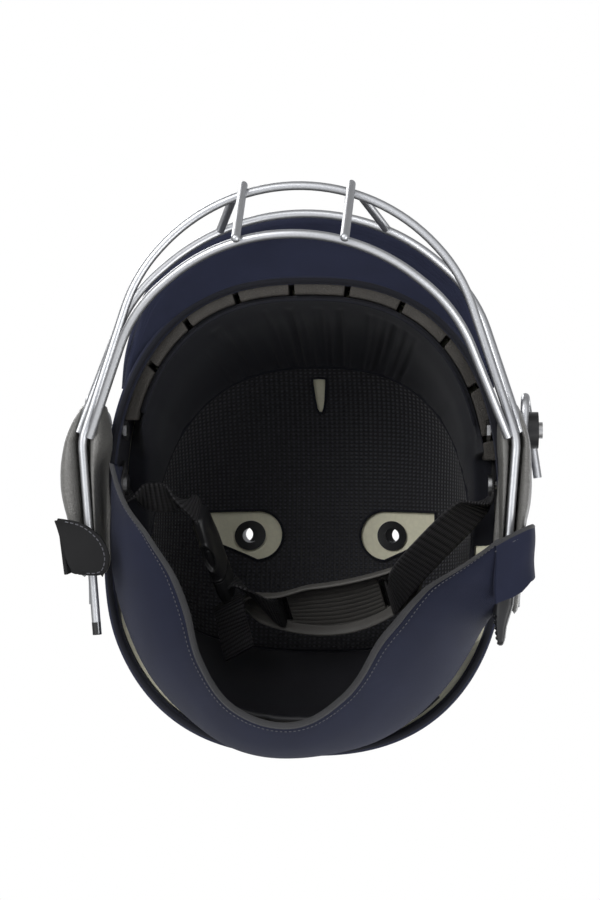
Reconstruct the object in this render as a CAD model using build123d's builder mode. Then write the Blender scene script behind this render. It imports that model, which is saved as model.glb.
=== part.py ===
"""Cloth-covered cricket helmet with a welded wire face guard. Lengths are in millimetres.

The helmet stands upright, as on a shelf: +Z is up, the face looks along -Y and +X is
the wearer's left. The origin is the middle of its footprint on the shelf. Heights in
the sizes below count from the brow rim, and distances along Y from the middle of the
shell, where the front is negative.
"""
from math import atan2, cos, radians, sin, sqrt, tan
import os

from build123d import *

os.makedirs("parts", exist_ok=True)

# Which side: the wearer's right is at -X
RIGHT, LEFT = -1, 1
SIDE_NAMES = {RIGHT: "right", LEFT: "left"}

# Shell
half_width = 108.5
half_length = 128.5
crown_height = 148.0
plan_power = 2.5
rise_power = 2.3
cloth_thickness = 0.9
shell_thickness = 2.3
glue_gap = 0.1
foam_thickness = 10.0
rear_drop = 34.0
temple_drop = 12.0
rim_fall_start = 40.0
rim_fall_end = 62.0
skirt = 44.0
overrun = 12.0

# Layers inside the foam liner
mesh_thickness = 1.5
pad_thickness = 4.8
band_thickness = 6.3
band_height = 27.0
band_right_end = 50.0
band_left_end = 27.5
notch_width = 3.2
notch_depth = 2.6
notch_pitch = 14.4
notch_first = 21.8
nape_bottom = 22.0
liner_rear_drop = 28.0
mesh_front_height = 92.0
mesh_front_reach = 75.0
mesh_slope = 34.4
nape_top_height = 100.0
nape_top_reach = 91.0
nape_slope = 65.0
seam_gap = 0.4
slot_width = 8.0
slot_length = 19.0
slot_reach = 68.0

# Vents
vent_x = 43.7
vent_y = 19.5
vent_bore = 9.0
vent_tube = 12.0
vent_flange = 18.0
flange_thickness = 1.6
eye_inner_radius = 15.6
eye_inner_x = 39.6
eye_outer_x = 71.0
eye_outer_front = 4.0
eye_outer_rear = 20.0
button_radius = 11.0
button_height = 4.5

# Peak
peak_overhang = 30.5
peak_corner_x = 86.0
peak_corner_back = 7.5
peak_temple_x = 105.0
peak_temple_y = 58.0
peak_thickness = 4.0
peak_slope = 12.0
peak_arch_radius = 380.0
peak_brow_rise = 3.0
peak_root = 40.0
peak_corner_radius = 16.0

# Face guard wire and its bars: reach, drop and slope of each, then the corners
# that the wire is bent round, across and back from the middle of the bar
wire = 4.6
weld_lap = 0.2
lower_reach, lower_drop, lower_slope = 139.5, 100.0, 21.3
lower_vertex = -30.6
lower_corner = (81.8, 38.1)
lower_end = (108.3, 106.8)
middle_reach, middle_drop = 169.6, 60.0
middle_vertex = -47.0
middle_corner = (84.5, 45.2)
middle_bend = (112.8, 131.2)
middle_end = (104.7, 232.0)
upper_reach, upper_drop, upper_slope = 161.6, 17.0, -18.5
upper_vertex = -40.4
upper_corner = (92.0, 48.4)
upper_end = (115.4, 126.2)
front_bend = 97.0
upper_front_bend = 105.0
corner_bend = 82.0
temple_bend = 25.0
front_rod_top_x, front_rod_bottom_x = 28.0, 27.0
front_rod_tail = 2.0
upper_rod_bottom_x, upper_rod_top_x = 33.5, 45.0

# Temple fixing: a hairpin of the same wire, clamped to the shell by one bolt
loop_rear = (113.5, 50.0, -25.0)
loop_knee = (117.6, -16.0, -12.0)
loop_front_lower = (119.4, -62.0, -8.5)
loop_front_upper = (120.4, -62.0, 8.5)
loop_tip = (127.0, -18.0, 9.5)
loop_bend = 8.0
loop_knee_bend = 120.0
bolt_y, bolt_z = -44.0, 0.0
bolt_radius = 2.5
bolt_head_radius = 4.5
bolt_head_height = 2.2
clamp_radius = 10.0
clamp_cover = 2.4
nut_radius = 5.5
nut_thickness = 1.9
fit_gap = 0.15

# Ear pads
pad_front, pad_rear_right, pad_rear_left = -58.0, 34.0, 52.0
pad_bottom = -66.0
pad_roof = -29.0
pad_roof_thickness = 6.0
pad_outer = 6.0
pad_inner = 4.5
pad_wire_gap = 0.5
pad_top_rear = -31.0
pad_block_y = (-56.0, -24.0)
pad_block_top = 14.0
pad_corner = 7.0

# Neck guard: the cross sections of the flap as seen from the guard's own centre, each
# with its angle, then the bulge and the bottom edge as (radius, height)
guard_centre = 18.7
guard_thickness = 3.0
guard_tuck = 29.8
guard_belly = 8.0
shoulder_sag = 3.75
binding_height = 5.0
binding_thickness = 4.2
lobe_drop = 105.6
tucked_ribs = [
    (150.0, (101.5, -58.0), (58.5, -lobe_drop)),
    (130.0, (105.5, -52.0), (69.0, -lobe_drop)),
    (110.0, (109.5, -48.0), (82.0, -97.0)),
    (90.0, (110.0, -46.0), (85.5, -91.0)),
    (70.0, (109.5, -48.0), (78.0, -96.0)),
    (47.0, (105.5, -52.0), (66.0, -lobe_drop)),
    (27.0, (101.0, -62.0), (69.0, -lobe_drop)),
]
right_ribs = [
    (205.0, (103.5, -53.0), (104.5, -59.0), (106.0, -66.0)),
    (196.0, (101.0, -47.0), (99.0, -61.0), (91.0, -77.0)),
    (186.0, (100.0, -42.0), (95.0, -66.0), (73.0, -90.0)),
    (170.0, (99.5, -37.0), (96.0, -68.0), (60.0, -99.0)),
]
left_ribs = [
    (10.0, (98.0, -44.0), (97.5, -70.0), (88.0, -92.0)),
    (-4.0, (97.5, -60.0), (99.0, -72.0), (99.5, -84.0)),
]
fixing_height = 9.0
fixing_thickness = 1.4

# Hook tabs that hold the guard's ends on the wires
tab_right_y = (5.0, 33.0)
tab_right_x = (96.0, 121.5)
tab_thickness = 2.6
tab_right_level = -75.5
tab_root_top = -47.0
tab_left_y = (8.0, 35.0)
tab_left_x = (101.0, 120.6)
tab_left_level = -77.5
tab_left_rise = 24.0
tab_gap = 0.3

# Chin strap: its plane swings about the line through the two rivets
strap_tilt = 35.0
rivet_y, rivet_z = -14.3, 6.0
rivet_radius = 2.5
rivet_head_radius = 5.5
rivet_head_height = 2.0
webbing_width = 20.0
webbing_thickness = 1.5
strap_wall_gap = 1.6
strap_bend = 7.5
strap_patch = 7.5
long_run = [(94.0, 5.0), (59.0, 51.5), (49.0, 66.0)]
short_fold = (-76.0, 5.0)
tail_start_level = -11.0
tail_tip_x, tail_tip_level = -40.0, -33.0
tail_rear_gap = 31.5
tail_thickness = 1.5
cup_middle = (13.0, 83.5)
cup_turn = -11.2
cup_half_length = 54.0
cup_outer_bow = 24.0
cup_inner_bow = 8.5
cup_end_near, cup_end_far = -19.0, -2.0
cup_depth = 8.0
cup_floor = 3.0
cup_lip = 3.4
cup_corner = 6.0
cup_slot_p = 32.0
cup_slot_travel = 9.0
groove_pitch = 5.0
groove_depth = 1.0
groove_count = 9

# Side-release buckle, its length along the strap
buckle_start = (-62.0, 19.0)
buckle_aim = (-48.6, 78.7)
buckle_width = 27.0
buckle_thick = 9.5
socket_length = 42.0
clip_length = 19.0
bar_slot = 5.0
prong_length = 22.0
prong_width = 4.5
prong_thick = 4.0
prong_gap = 0.4

# Where things stand: the front rods and the guard's lobes carry the helmet
wire_radius = wire / 2
rod_step = wire - weld_lap


def unit(x, y):
    size = sqrt(x * x + y * y)
    return x / size, y / size


lower_rod_y = -lower_reach + front_rod_bottom_x**2 / (2 * front_bend)
middle_rod_y = -middle_reach + front_rod_top_x**2 / (2 * front_bend)
along_y, along_z = unit(middle_rod_y - lower_rod_y, lower_drop - middle_drop)
rod_top = (middle_rod_y - along_z * rod_step + along_y * front_rod_tail,
           -middle_drop + along_y * rod_step + along_z * front_rod_tail)
rod_bottom = (lower_rod_y - along_z * rod_step - along_y * front_rod_tail,
              -lower_drop + along_y * rod_step - along_z * front_rod_tail)
rim_z = wire_radius - rod_bottom[1]
shell_y = (-(rod_top[0] - wire_radius) - half_length) / 2


def at(x, y, z):
    """A point given from the middle of the brow rim, in the helmet's frame."""
    return Vector(x, shell_y + y, rim_z + z)


# Shapes of the dome
def plan_reach(share, power):
    """How far out a superellipse still reaches, as a share, at a share across."""
    return (1 - min(1.0, abs(share)) ** power) ** (1 / power)


def dome_scale(z, inset):
    return plan_reach(max(z, 0.0) / (crown_height - inset), rise_power)


def wall_x(inset, y, z):
    """Half width of the dome layer at a place along the helmet and a height."""
    scale = dome_scale(z, inset)
    share = y / ((half_length - inset) * scale)
    return (half_width - inset) * scale * plan_reach(share, plan_power)


dome_angles = (0, 20, 37, 52, 65, 76, 86)
outline_points = 20
domes_made = {}


def dome(inset):
    """Builds one closed egg-shaped dome, from below the rim up to the crown."""
    if inset in domes_made:
        return domes_made[inset]
    levels = [(-skirt, 1.0)]
    for angle in dome_angles:
        rise_share = sin(radians(angle)) ** (2 / rise_power)
        plan_share = cos(radians(angle)) ** (2 / rise_power)
        levels.append(((crown_height - inset) * rise_share, plan_share))
    with BuildPart() as block:
        for level, scale in levels:
            with BuildSketch(Plane(at(0, 0, level))):
                with BuildLine():
                    points = []
                    for step in range(outline_points):
                        turn = 2 * 180 * step / outline_points
                        c, s = cos(radians(turn)), sin(radians(turn))
                        size = (abs(c) ** plan_power + abs(s) ** plan_power) ** (1 / plan_power)
                        points.append(((half_width - inset) * scale * c / size,
                                       (half_length - inset) * scale * s / size))
                    Spline(*points, periodic=True)
                make_face()
        loft()
    domes_made[inset] = block.part
    return block.part


def layer(outer_inset, thickness, trim):
    """One open-bottomed shell of the dome, between two depths below its outside."""
    with BuildPart() as block:
        add(dome(outer_inset))
        add(trim, mode=Mode.SUBTRACT)
        add(dome(outer_inset + thickness), mode=Mode.SUBTRACT)
    return block.part


wide = half_width + overrun
tall = crown_height + overrun


def cut_below(profile):
    """A block of everything below a side view line, given as (y, z) from the front."""
    with BuildPart() as block:
        with BuildSketch(Plane(at(0, 0, 0), x_dir=(0, 1, 0), z_dir=(1, 0, 0))):
            with BuildLine():
                Polyline(*profile,
                         (profile[-1][0], -skirt - 2 * overrun),
                         (profile[0][0], -skirt - 2 * overrun), close=True)
            make_face()
        extrude(amount=wide, both=True)
    return block.part


far = half_length + overrun
rim_line = [(-far, -seam_gap), (-half_length + overrun, -seam_gap), (-rim_fall_start, -temple_drop),
            (rim_fall_start / 2, -temple_drop - overrun / 2),
            (rim_fall_end, -rear_drop), (far, -rear_drop)]
liner_side_rise = band_height + seam_gap
liner_line = [(-far, liner_side_rise), (rim_fall_start / 2, liner_side_rise),
              (rim_fall_end, -liner_rear_drop), (far, -liner_rear_drop)]
ring_line = [(-far, peak_brow_rise), (-rim_fall_start - overrun, peak_brow_rise),
             (-rim_fall_start + overrun, liner_side_rise), (far, liner_side_rise)]

shell_inset = cloth_thickness
foam_inset = shell_inset + shell_thickness
lining_inset = foam_inset + foam_thickness
band_inset = foam_inset
band_inner = band_inset + band_thickness
nut_wall = wall_x(foam_inset, bolt_y - nut_radius, bolt_z + nut_radius) - fit_gap
bolt_inner = nut_wall - nut_thickness
ring_cut = cut_below([(-far, liner_side_rise), (far, liner_side_rise)])

# Shell, its cloth and the foam inside it
rim_cut = cut_below(rim_line)
liner_cut = cut_below(liner_line)
vent_places = [(side * vent_x, vent_y) for side in (RIGHT, LEFT)]


def across(side, y, z, x):
    """A plane across a side of the helmet, facing outwards."""
    return Plane(at(side * x, y, z), x_dir=(0, 1, 0), z_dir=(side, 0, 0))


def drill_vents(radius):
    """Two upright drills at the vents."""
    with BuildPart() as drill:
        for x, y in vent_places:
            with BuildSketch(Plane(at(x, y, 0))):
                Circle(radius)
            extrude(amount=tall)
    return drill.part


def drill_sides(y, z, radius):
    """Two drills that go out through the sides of the helmet."""
    with BuildPart() as drill:
        for side in (RIGHT, LEFT):
            with BuildSketch(across(side, y, z, half_width / 2)):
                Circle(radius)
            extrude(amount=half_width)
    return drill.part


vent_hole = vent_tube / 2 + fit_gap
bolt_drill = drill_sides(bolt_y, bolt_z, bolt_radius + fit_gap)
rivet_drill = drill_sides(rivet_y, rivet_z, rivet_radius + fit_gap)
vent_drill = drill_vents(vent_hole)


def clad(inset, thickness):
    """One layer of the shell, trimmed at the rim and drilled for its fixings."""
    with BuildPart() as skin:
        add(layer(inset, thickness, rim_cut))
        add(vent_drill, mode=Mode.SUBTRACT)
        add(bolt_drill, mode=Mode.SUBTRACT)
        add(rivet_drill, mode=Mode.SUBTRACT)
    return skin.part


with BuildPart() as cloth_cover:
    add(clad(0, cloth_thickness))
cloth_cover.part.label = "cloth_cover"

with BuildPart() as outer_shell:
    add(clad(shell_inset, shell_thickness))
outer_shell.part.label = "outer_shell"

with BuildPart() as foam_liner:
    add(layer(foam_inset, foam_thickness, liner_cut))
    add(vent_drill, mode=Mode.SUBTRACT)
foam_liner.part.label = "foam_liner"

with BuildPart() as crown_button:
    with BuildSketch(Plane(at(0, 0, crown_height + glue_gap))):
        Circle(button_radius)
    extrude(amount=button_height)
    fillet(crown_button.edges().group_by(Axis.Z)[-1], button_height * 0.7)
crown_button.part.label = "crown_button"

# Brow band: a foam strip round the forehead, slit so that it bends
with BuildPart() as brow_band:
    add(dome(band_inset))
    add(dome(band_inner), mode=Mode.SUBTRACT)
    add(cut_below([(-far, 0), (far, 0)]), mode=Mode.SUBTRACT)
    with BuildSketch(Plane(at(0, 0, band_height))):
        Rectangle(2 * wide, 2 * far)
    extrude(amount=tall, mode=Mode.SUBTRACT)
    with BuildSketch(Plane(at(0, 0, -overrun))):
        with BuildLine():
            Polyline((-wide, far), (-wide, -band_right_end), (-wide / 2, -band_right_end),
                     (wide / 2, -band_left_end), (wide, -band_left_end), (wide, far), close=True)
        make_face()
    extrude(amount=tall, mode=Mode.SUBTRACT)
    notch = notch_first
    for count in range(9):
        angle = radians(notch + count * notch_pitch)
        reach_share = (abs(cos(angle) / (half_width - band_inner)) ** plan_power
                       + abs(sin(angle) / (half_length - band_inner)) ** plan_power)
        radius = reach_share ** (-1 / plan_power)
        middle = at(radius * cos(angle), -radius * sin(angle), -overrun)
        with BuildSketch(Plane(middle, x_dir=(cos(angle), -sin(angle), 0), z_dir=(0, 0, 1))):
            Rectangle(2 * notch_depth, notch_width)
        extrude(amount=tall / 2, mode=Mode.SUBTRACT)
    with BuildSketch(across(LEFT, bolt_y, bolt_z, bolt_inner - 2 * fit_gap)):
        Circle(nut_radius + 2 * fit_gap)
    extrude(amount=band_thickness, mode=Mode.SUBTRACT)
brow_band.part.label = "brow_band"


# Linings: mesh over the crown, a gathered cloth ring round the brow and sides, and
# a smooth pad at the nape, divided by two sloping planes
def slope_cut(reach, height, slope, gap, above):
    """A half space over (or under) a plane that slopes down towards the rear."""
    side = 1 if above else -1
    lean = radians(slope)
    origin = at(0, reach, height) + Vector(0, gap * sin(lean), gap * cos(lean))
    plane = Plane(origin, x_dir=(1, 0, 0), z_dir=(0, side * sin(lean), side * cos(lean)))
    with BuildPart() as block:
        with BuildSketch(plane):
            Rectangle(4 * wide, 6 * far)
        extrude(amount=4 * tall)
    return block.part


above_ring = slope_cut(-mesh_front_reach, mesh_front_height, mesh_slope, 0, True)
below_mesh = slope_cut(-mesh_front_reach, mesh_front_height, mesh_slope, seam_gap, False)


def nape_cut(gap, behind):
    side = 1 if behind else -1
    lean = radians(nape_slope)
    rearward = Vector(0, sin(lean), -cos(lean))
    origin = at(0, nape_top_reach, nape_top_height) + rearward * gap
    with BuildPart() as block:
        with BuildSketch(Plane(origin, x_dir=(1, 0, 0), z_dir=rearward * side)):
            Rectangle(4 * wide, 6 * far)
        extrude(amount=4 * tall)
    return block.part


behind_nape = nape_cut(0, True)
before_nape = nape_cut(seam_gap, False)

step_thickness = pad_thickness + foam_thickness - band_thickness
with BuildPart() as step_block:
    add(layer(band_inset + band_thickness + glue_gap, step_thickness, cut_below(ring_line)))
    with BuildSketch(Plane(at(0, 0, liner_side_rise))):
        Rectangle(2 * wide, 2 * far)
    extrude(amount=tall, mode=Mode.SUBTRACT)
    with BuildSketch(Plane(at(0, far - rim_fall_start + overrun, -skirt))):
        Rectangle(2 * wide, 2 * far)
    extrude(amount=2 * tall, mode=Mode.SUBTRACT)
ring_step = step_block.part

with BuildPart() as crown_mesh:
    add(layer(lining_inset, mesh_thickness, liner_cut))
    add(below_mesh, mode=Mode.SUBTRACT)
    add(behind_nape, mode=Mode.SUBTRACT)
    for side in (RIGHT, LEFT):
        with BuildSketch(Plane(at(0, 0, 0))):
            with BuildLine():
                tip_front = (side * eye_outer_x, eye_outer_front)
                tip_rear = (side * eye_outer_x, eye_outer_rear)
                front = (side * eye_inner_x, vent_y - eye_inner_radius)
                rear = (side * eye_inner_x, vent_y + eye_inner_radius)
                inner = (side * (eye_inner_x - eye_inner_radius), vent_y)
                Line(tip_front, front)
                ThreePointArc(front, inner, rear)
                Line(rear, tip_rear)
                Line(tip_rear, tip_front)
            make_face()
        extrude(amount=tall, mode=Mode.SUBTRACT)
    with BuildSketch(Plane(at(0, -slot_reach, 0))):
        SlotOverall(slot_length, slot_width, rotation=90)
    extrude(amount=tall, mode=Mode.SUBTRACT)
crown_mesh.part.label = "crown_mesh"

with BuildPart() as comfort_ring:
    add(layer(lining_inset, pad_thickness, ring_cut))
    add(above_ring, mode=Mode.SUBTRACT)
    add(behind_nape, mode=Mode.SUBTRACT)
    add(ring_step)
    with BuildSketch(Plane(at(0, -slot_reach, 0))):
        SlotOverall(slot_length, slot_width, rotation=90)
    extrude(amount=tall, mode=Mode.SUBTRACT)
comfort_ring.part.label = "comfort_ring"

with BuildPart() as nape_pad:
    add(layer(lining_inset, pad_thickness, cut_below([(-far, -nape_bottom), (far, -nape_bottom)])))
    add(before_nape, mode=Mode.SUBTRACT)
nape_pad.part.label = "nape_pad"


# Vent eyelets: a tube through shell and foam, with a flange at each end that follows
# the dome
flange_layer = layer(-flange_thickness, lining_inset + 2 * flange_thickness, liner_cut)


def eyelet(side):
    """A lined vent hole on one side of the crown."""
    x, y = side * vent_x, vent_y
    with BuildPart() as tube:
        with BuildSketch(Plane(at(x, y, band_height))):
            Circle(vent_flange / 2)
        extrude(amount=tall)
        add(flange_layer, mode=Mode.INTERSECT)
        add(foam_liner.part, mode=Mode.SUBTRACT)
        add(outer_shell.part, mode=Mode.SUBTRACT)
        add(cloth_cover.part, mode=Mode.SUBTRACT)
        with BuildSketch(Plane(at(x, y, 0))):
            Circle(vent_bore / 2)
        extrude(amount=tall, mode=Mode.SUBTRACT)
    tube.part.label = "vent_eyelet_" + SIDE_NAMES[side]
    return tube.part


eyelets = [eyelet(side) for side in (RIGHT, LEFT)]

# Peak: a sloping, slightly arched board with the plan of a cap's peak
with BuildPart() as peak:
    lean = radians(peak_slope)
    peak_reach = half_length + peak_overhang
    peak_corner_y = half_length - peak_corner_back
    brow = at(0, -half_length + peak_root, peak_brow_rise + peak_root * tan(lean))
    slab_plane = Plane(brow, x_dir=(1, 0, 0), z_dir=(0, -cos(lean), -sin(lean)))
    with BuildSketch(slab_plane):
        with BuildLine():
            edge_turn = atan2(wide, peak_arch_radius)
            edge_x = peak_arch_radius * sin(edge_turn)
            sag = peak_arch_radius * (1 - cos(edge_turn))
            top = ThreePointArc((-edge_x, -sag), (0, 0), (edge_x, -sag))
            Line(top @ 1, (edge_x, -sag + peak_thickness))
            ThreePointArc((edge_x, -sag + peak_thickness), (0, peak_thickness),
                          (-edge_x, -sag + peak_thickness))
            Line((-edge_x, -sag + peak_thickness), top @ 0)
        make_face()
    extrude(amount=2 * peak_root + overrun, both=True)
    with BuildSketch(Plane(at(0, 0, -tall / 2))):
        with BuildLine():
            right_corner = (-peak_corner_x, -peak_corner_y)
            left_corner = (peak_corner_x, -peak_corner_y)
            front = ThreePointArc(right_corner, (0, -peak_reach), left_corner)
            edge = Line(left_corner, (peak_temple_x, -peak_temple_y))
            Line(edge @ 1, (-peak_temple_x, -peak_temple_y))
            Line((-peak_temple_x, -peak_temple_y), right_corner)
        make_face()
        fillet(vertices().group_by(Axis.Y)[1], peak_corner_radius)
    extrude(amount=tall, mode=Mode.INTERSECT)
    add(dome(-glue_gap), mode=Mode.SUBTRACT)
peak.part.label = "peak"


# Face guard: wires bent round a few corners, lapped or butted at each weld
def mirrored(vertex, corners):
    """Right end, right corners, the front vertex, left corners and left end."""
    right = [(-x, y) for x, y in corners[::-1]]
    return right + [(0, vertex)] + list(corners)


def welded_bar(name, reach, drop, slope, vertex, corners, bends, against):
    """A bar of the guard, coped where it laps the bars that it is welded to."""
    lean = radians(slope)
    plane = Plane(at(0, -reach, -drop), x_dir=(1, 0, 0), z_dir=(0, -sin(lean), cos(lean)))
    with BuildPart() as bar:
        with BuildLine(plane) as path:
            FilletPolyline(*mirrored(vertex, corners), radius=bends)
        with BuildSketch(Plane(path.line @ 0, z_dir=path.line % 0)):
            Circle(wire_radius)
        sweep(path=path.line)
        for other in against:
            add(other, mode=Mode.SUBTRACT)
    bar.part.label = name
    return bar.part


middle_bar = welded_bar("grille_middle_bar", middle_reach, middle_drop, 0, middle_vertex,
                        [middle_corner, middle_bend, middle_end],
                        [temple_bend, corner_bend, front_bend, corner_bend, temple_bend], [])
lower_bar = welded_bar("grille_lower_bar", lower_reach, lower_drop, lower_slope, lower_vertex,
                       [lower_corner, lower_end], [corner_bend, front_bend, corner_bend],
                       [middle_bar])
upper_bar = welded_bar("grille_top_bar", upper_reach, upper_drop, upper_slope, upper_vertex,
                       [upper_corner, upper_end], [corner_bend, upper_front_bend, corner_bend],
                       [middle_bar])


def rod(start, finish):
    with BuildPart() as bar:
        with BuildSketch(Plane(start, z_dir=finish - start)):
            Circle(wire_radius)
        extrude(amount=(finish - start).length)
    return bar.part


with BuildPart() as front_rods:
    for side in (RIGHT, LEFT):
        head = at(side * front_rod_top_x, rod_top[0], rod_top[1])
        foot = at(side * front_rod_bottom_x, rod_bottom[0], rod_bottom[1])
        add(rod(head, foot))
        with Locations(head, foot):
            Sphere(wire_radius)
    add(middle_bar, mode=Mode.SUBTRACT)
    add(lower_bar, mode=Mode.SUBTRACT)
front_rods.part.label = "grille_front_rods"

with BuildPart() as upper_rods:
    low_y = -middle_reach + upper_rod_bottom_x**2 / (2 * front_bend)
    rise_y = upper_rod_top_x**2 / (2 * upper_front_bend)
    for side in (RIGHT, LEFT):
        foot = at(side * upper_rod_bottom_x, low_y, -middle_drop)
        head = at(side * upper_rod_top_x, -upper_reach + rise_y,
                  -upper_drop + rise_y * tan(radians(upper_slope)))
        add(rod(foot, head))
    add(middle_bar, mode=Mode.SUBTRACT)
    add(upper_bar, mode=Mode.SUBTRACT)
upper_rods.part.label = "grille_upper_rods"


def temple_loop(side):
    route = [at(side * x, y, z) for x, y, z in
             (loop_rear, loop_knee, loop_front_lower, loop_front_upper, loop_tip)]
    with BuildPart() as loop:
        with BuildLine() as path:
            FilletPolyline(*route, radius=[loop_knee_bend, loop_bend, loop_bend])
        with BuildSketch(Plane(path.line @ 0, z_dir=path.line % 0)):
            Circle(wire_radius)
        sweep(path=path.line)
    loop.part.label = "temple_loop_" + SIDE_NAMES[side]
    return loop.part


loops = {side: temple_loop(side) for side in (RIGHT, LEFT)}


# Ear pads: two lobes astride the wires, joined by a roof, with a block behind the loop
def wire_line(y):
    """Distance of the guard's side wire from the middle plane."""
    bend_y = middle_bend[1] - middle_reach
    end_y = middle_end[1] - middle_reach
    share = (y - bend_y) / (end_y - bend_y)
    if share < 0:
        corner_y = middle_corner[1] - middle_reach
        share = (y - bend_y) / (corner_y - bend_y)
        return middle_bend[0] + share * (middle_corner[0] - middle_bend[0])
    return middle_bend[0] + share * (middle_end[0] - middle_bend[0])


def strip_plan(side, rear, near, far_out):
    """Plan corners of a strip that follows the side wire at two distances from it."""
    stops = [pad_front, middle_bend[1] - middle_reach, rear]
    outer = [(side * (wire_line(y) + far_out), y) for y in stops]
    inner = [(side * (wire_line(y) + near), y) for y in reversed(stops)]
    return outer + inner


pad_clear = wire_radius + pad_wire_gap
block_outer = loop_front_lower[0] - wire_radius - pad_wire_gap


def ear_pad(side):
    rear = pad_rear_right if side == RIGHT else pad_rear_left
    lobes = [strip_plan(side, rear, pad_clear, pad_clear + pad_outer),
             strip_plan(side, rear, -pad_clear - pad_inner, -pad_clear)]
    roof = strip_plan(side, rear, -pad_clear - pad_inner, pad_clear + pad_outer)
    roof_level = pad_roof - pad_roof_thickness
    inner_x = wall_x(0, bolt_y, 0) - pad_corner
    block = [(side * inner_x, pad_block_y[0]), (side * block_outer, pad_block_y[0]),
             (side * block_outer, pad_block_y[1]), (side * inner_x, pad_block_y[1])]
    with BuildPart() as pad:
        for plan, bottom, top in [(lobes[0], pad_bottom, pad_roof), (lobes[1], pad_bottom, pad_roof),
                                  (roof, roof_level, pad_roof), (block, roof_level, pad_block_top)]:
            with BuildSketch(Plane(at(0, 0, bottom))):
                with BuildLine():
                    Polyline(*plan, close=True)
                make_face()
            extrude(amount=top - bottom)
        add(dome(-glue_gap), mode=Mode.SUBTRACT)
        with BuildSketch(Plane(at(0, 0, 0), x_dir=(0, 1, 0), z_dir=(1, 0, 0))) as side_view:
            with BuildLine():
                Polyline((pad_front, pad_bottom), (rear, pad_bottom), (rear, pad_top_rear),
                         (pad_block_y[1], pad_roof), (pad_block_y[1], pad_block_top),
                         (pad_block_y[0], pad_block_top), (pad_front, pad_roof), close=True)
            make_face()
        extrude(amount=wide + overrun, both=True, mode=Mode.INTERSECT)
        add(bolt_drill, mode=Mode.SUBTRACT)
        add(loops[side], mode=Mode.SUBTRACT)
        add(middle_bar, mode=Mode.SUBTRACT)
        add(upper_bar, mode=Mode.SUBTRACT)
        add(lower_bar, mode=Mode.SUBTRACT)
    pad.part.label = "ear_pad_" + SIDE_NAMES[side]
    return pad.part


ear_pads = {side: ear_pad(side) for side in (RIGHT, LEFT)}


# Temple clamps, bolts and nuts
clamp_inner = block_outer + fit_gap
clamp_outer = loop_tip[0] - 1.5 * fit_gap


def clamp(side):
    with BuildPart() as plate:
        with BuildSketch(across(side, bolt_y, bolt_z, clamp_inner)):
            Circle(clamp_radius)
            Circle(bolt_radius + fit_gap, mode=Mode.SUBTRACT)
        extrude(amount=clamp_outer - clamp_inner)
        fillet(plate.edges().filter_by(GeomType.CIRCLE).sort_by(Axis.X)[-side], clamp_cover)
        add(loops[side], mode=Mode.SUBTRACT)
    plate.part.label = "temple_clamp_" + SIDE_NAMES[side]
    return plate.part


clamps = {side: clamp(side) for side in (RIGHT, LEFT)}

with BuildPart() as temple_bolts:
    for side in (RIGHT, LEFT):
        with BuildSketch(across(side, bolt_y, bolt_z, bolt_inner)):
            Circle(bolt_radius)
        extrude(amount=clamp_outer - bolt_inner + fit_gap)
        with BuildSketch(across(side, bolt_y, bolt_z, clamp_outer + fit_gap)):
            Circle(bolt_head_radius)
            RegularPolygon(bolt_radius * 0.7, 6, mode=Mode.SUBTRACT)
        extrude(amount=bolt_head_height)
temple_bolts.part.label = "temple_bolts"

with BuildPart() as temple_nuts:
    for side in (RIGHT, LEFT):
        with BuildSketch(across(side, bolt_y, bolt_z, bolt_inner)):
            RegularPolygon(nut_radius, 6)
            Circle(bolt_radius, mode=Mode.SUBTRACT)
        extrude(amount=nut_thickness)
temple_nuts.part.label = "temple_nuts"


# Neck guard
def wall_reach(inset, angle):
    """Distance from the guard's centre to a layer of the shell, by halving."""
    near, beyond = 0.0, 2 * half_length
    for _ in range(40):
        middle = (near + beyond) / 2
        x = middle * cos(radians(angle))
        y = guard_centre + middle * sin(radians(angle))
        share = (abs(x / (half_width - inset)) ** plan_power
                 + abs(y / (half_length - inset)) ** plan_power)
        if share < 1:
            near = middle
        else:
            beyond = middle
    return near


def rib_points(rib):
    """Mid line of the flap at one angle, from its top edge down, as (radius, height)."""
    angle, *points = rib
    if len(points) == 2:
        tucked = wall_reach(shell_inset + shell_thickness, angle) - fit_gap - guard_thickness / 2
        top = (tucked, -guard_tuck)
        shoulder = (tucked - fit_gap, -(guard_tuck + rear_drop) / 2 - shoulder_sag)
        bulge, bottom = points
        return [top, shoulder, (bulge[0] + guard_belly, bulge[1]), bottom]
    top, bulge, bottom = points
    return [top, ((2 * top[0] + bulge[0]) / 3, (2 * top[1] + bulge[1]) / 3), bulge, bottom]


def offset_points(points, amount):
    """Shifts a line of (radius, height) points sideways, outwards when positive."""
    moved = []
    for index, (radius, height) in enumerate(points):
        before = points[max(index - 1, 0)]
        after = points[min(index + 1, len(points) - 1)]
        run, fall = unit(after[0] - before[0], before[1] - after[1])
        moved.append((radius + amount * fall, height + amount * run))
    return moved


def flap(ribs, outline):
    """Lofts a wall through upright sections that stand round the guard's centre."""
    with BuildPart() as wall:
        for rib in ribs:
            angle = radians(rib[0])
            outer, inner = outline(rib)
            plane = Plane(at(0, guard_centre, 0), x_dir=(cos(angle), sin(angle), 0),
                          z_dir=(sin(angle), -cos(angle), 0))
            with BuildSketch(plane):
                with BuildLine():
                    if len(outer) > 2:
                        Bezier(*outer)
                        Bezier(*inner)
                    else:
                        Line(*outer)
                        Line(*inner)
                    Line(outer[-1], inner[-1])
                    Line(inner[0], outer[0])
                make_face()
        loft()
    return wall.part


def whole_outline(rib):
    points = rib_points(rib)
    return (offset_points(points, guard_thickness / 2), offset_points(points, -guard_thickness / 2))


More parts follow.
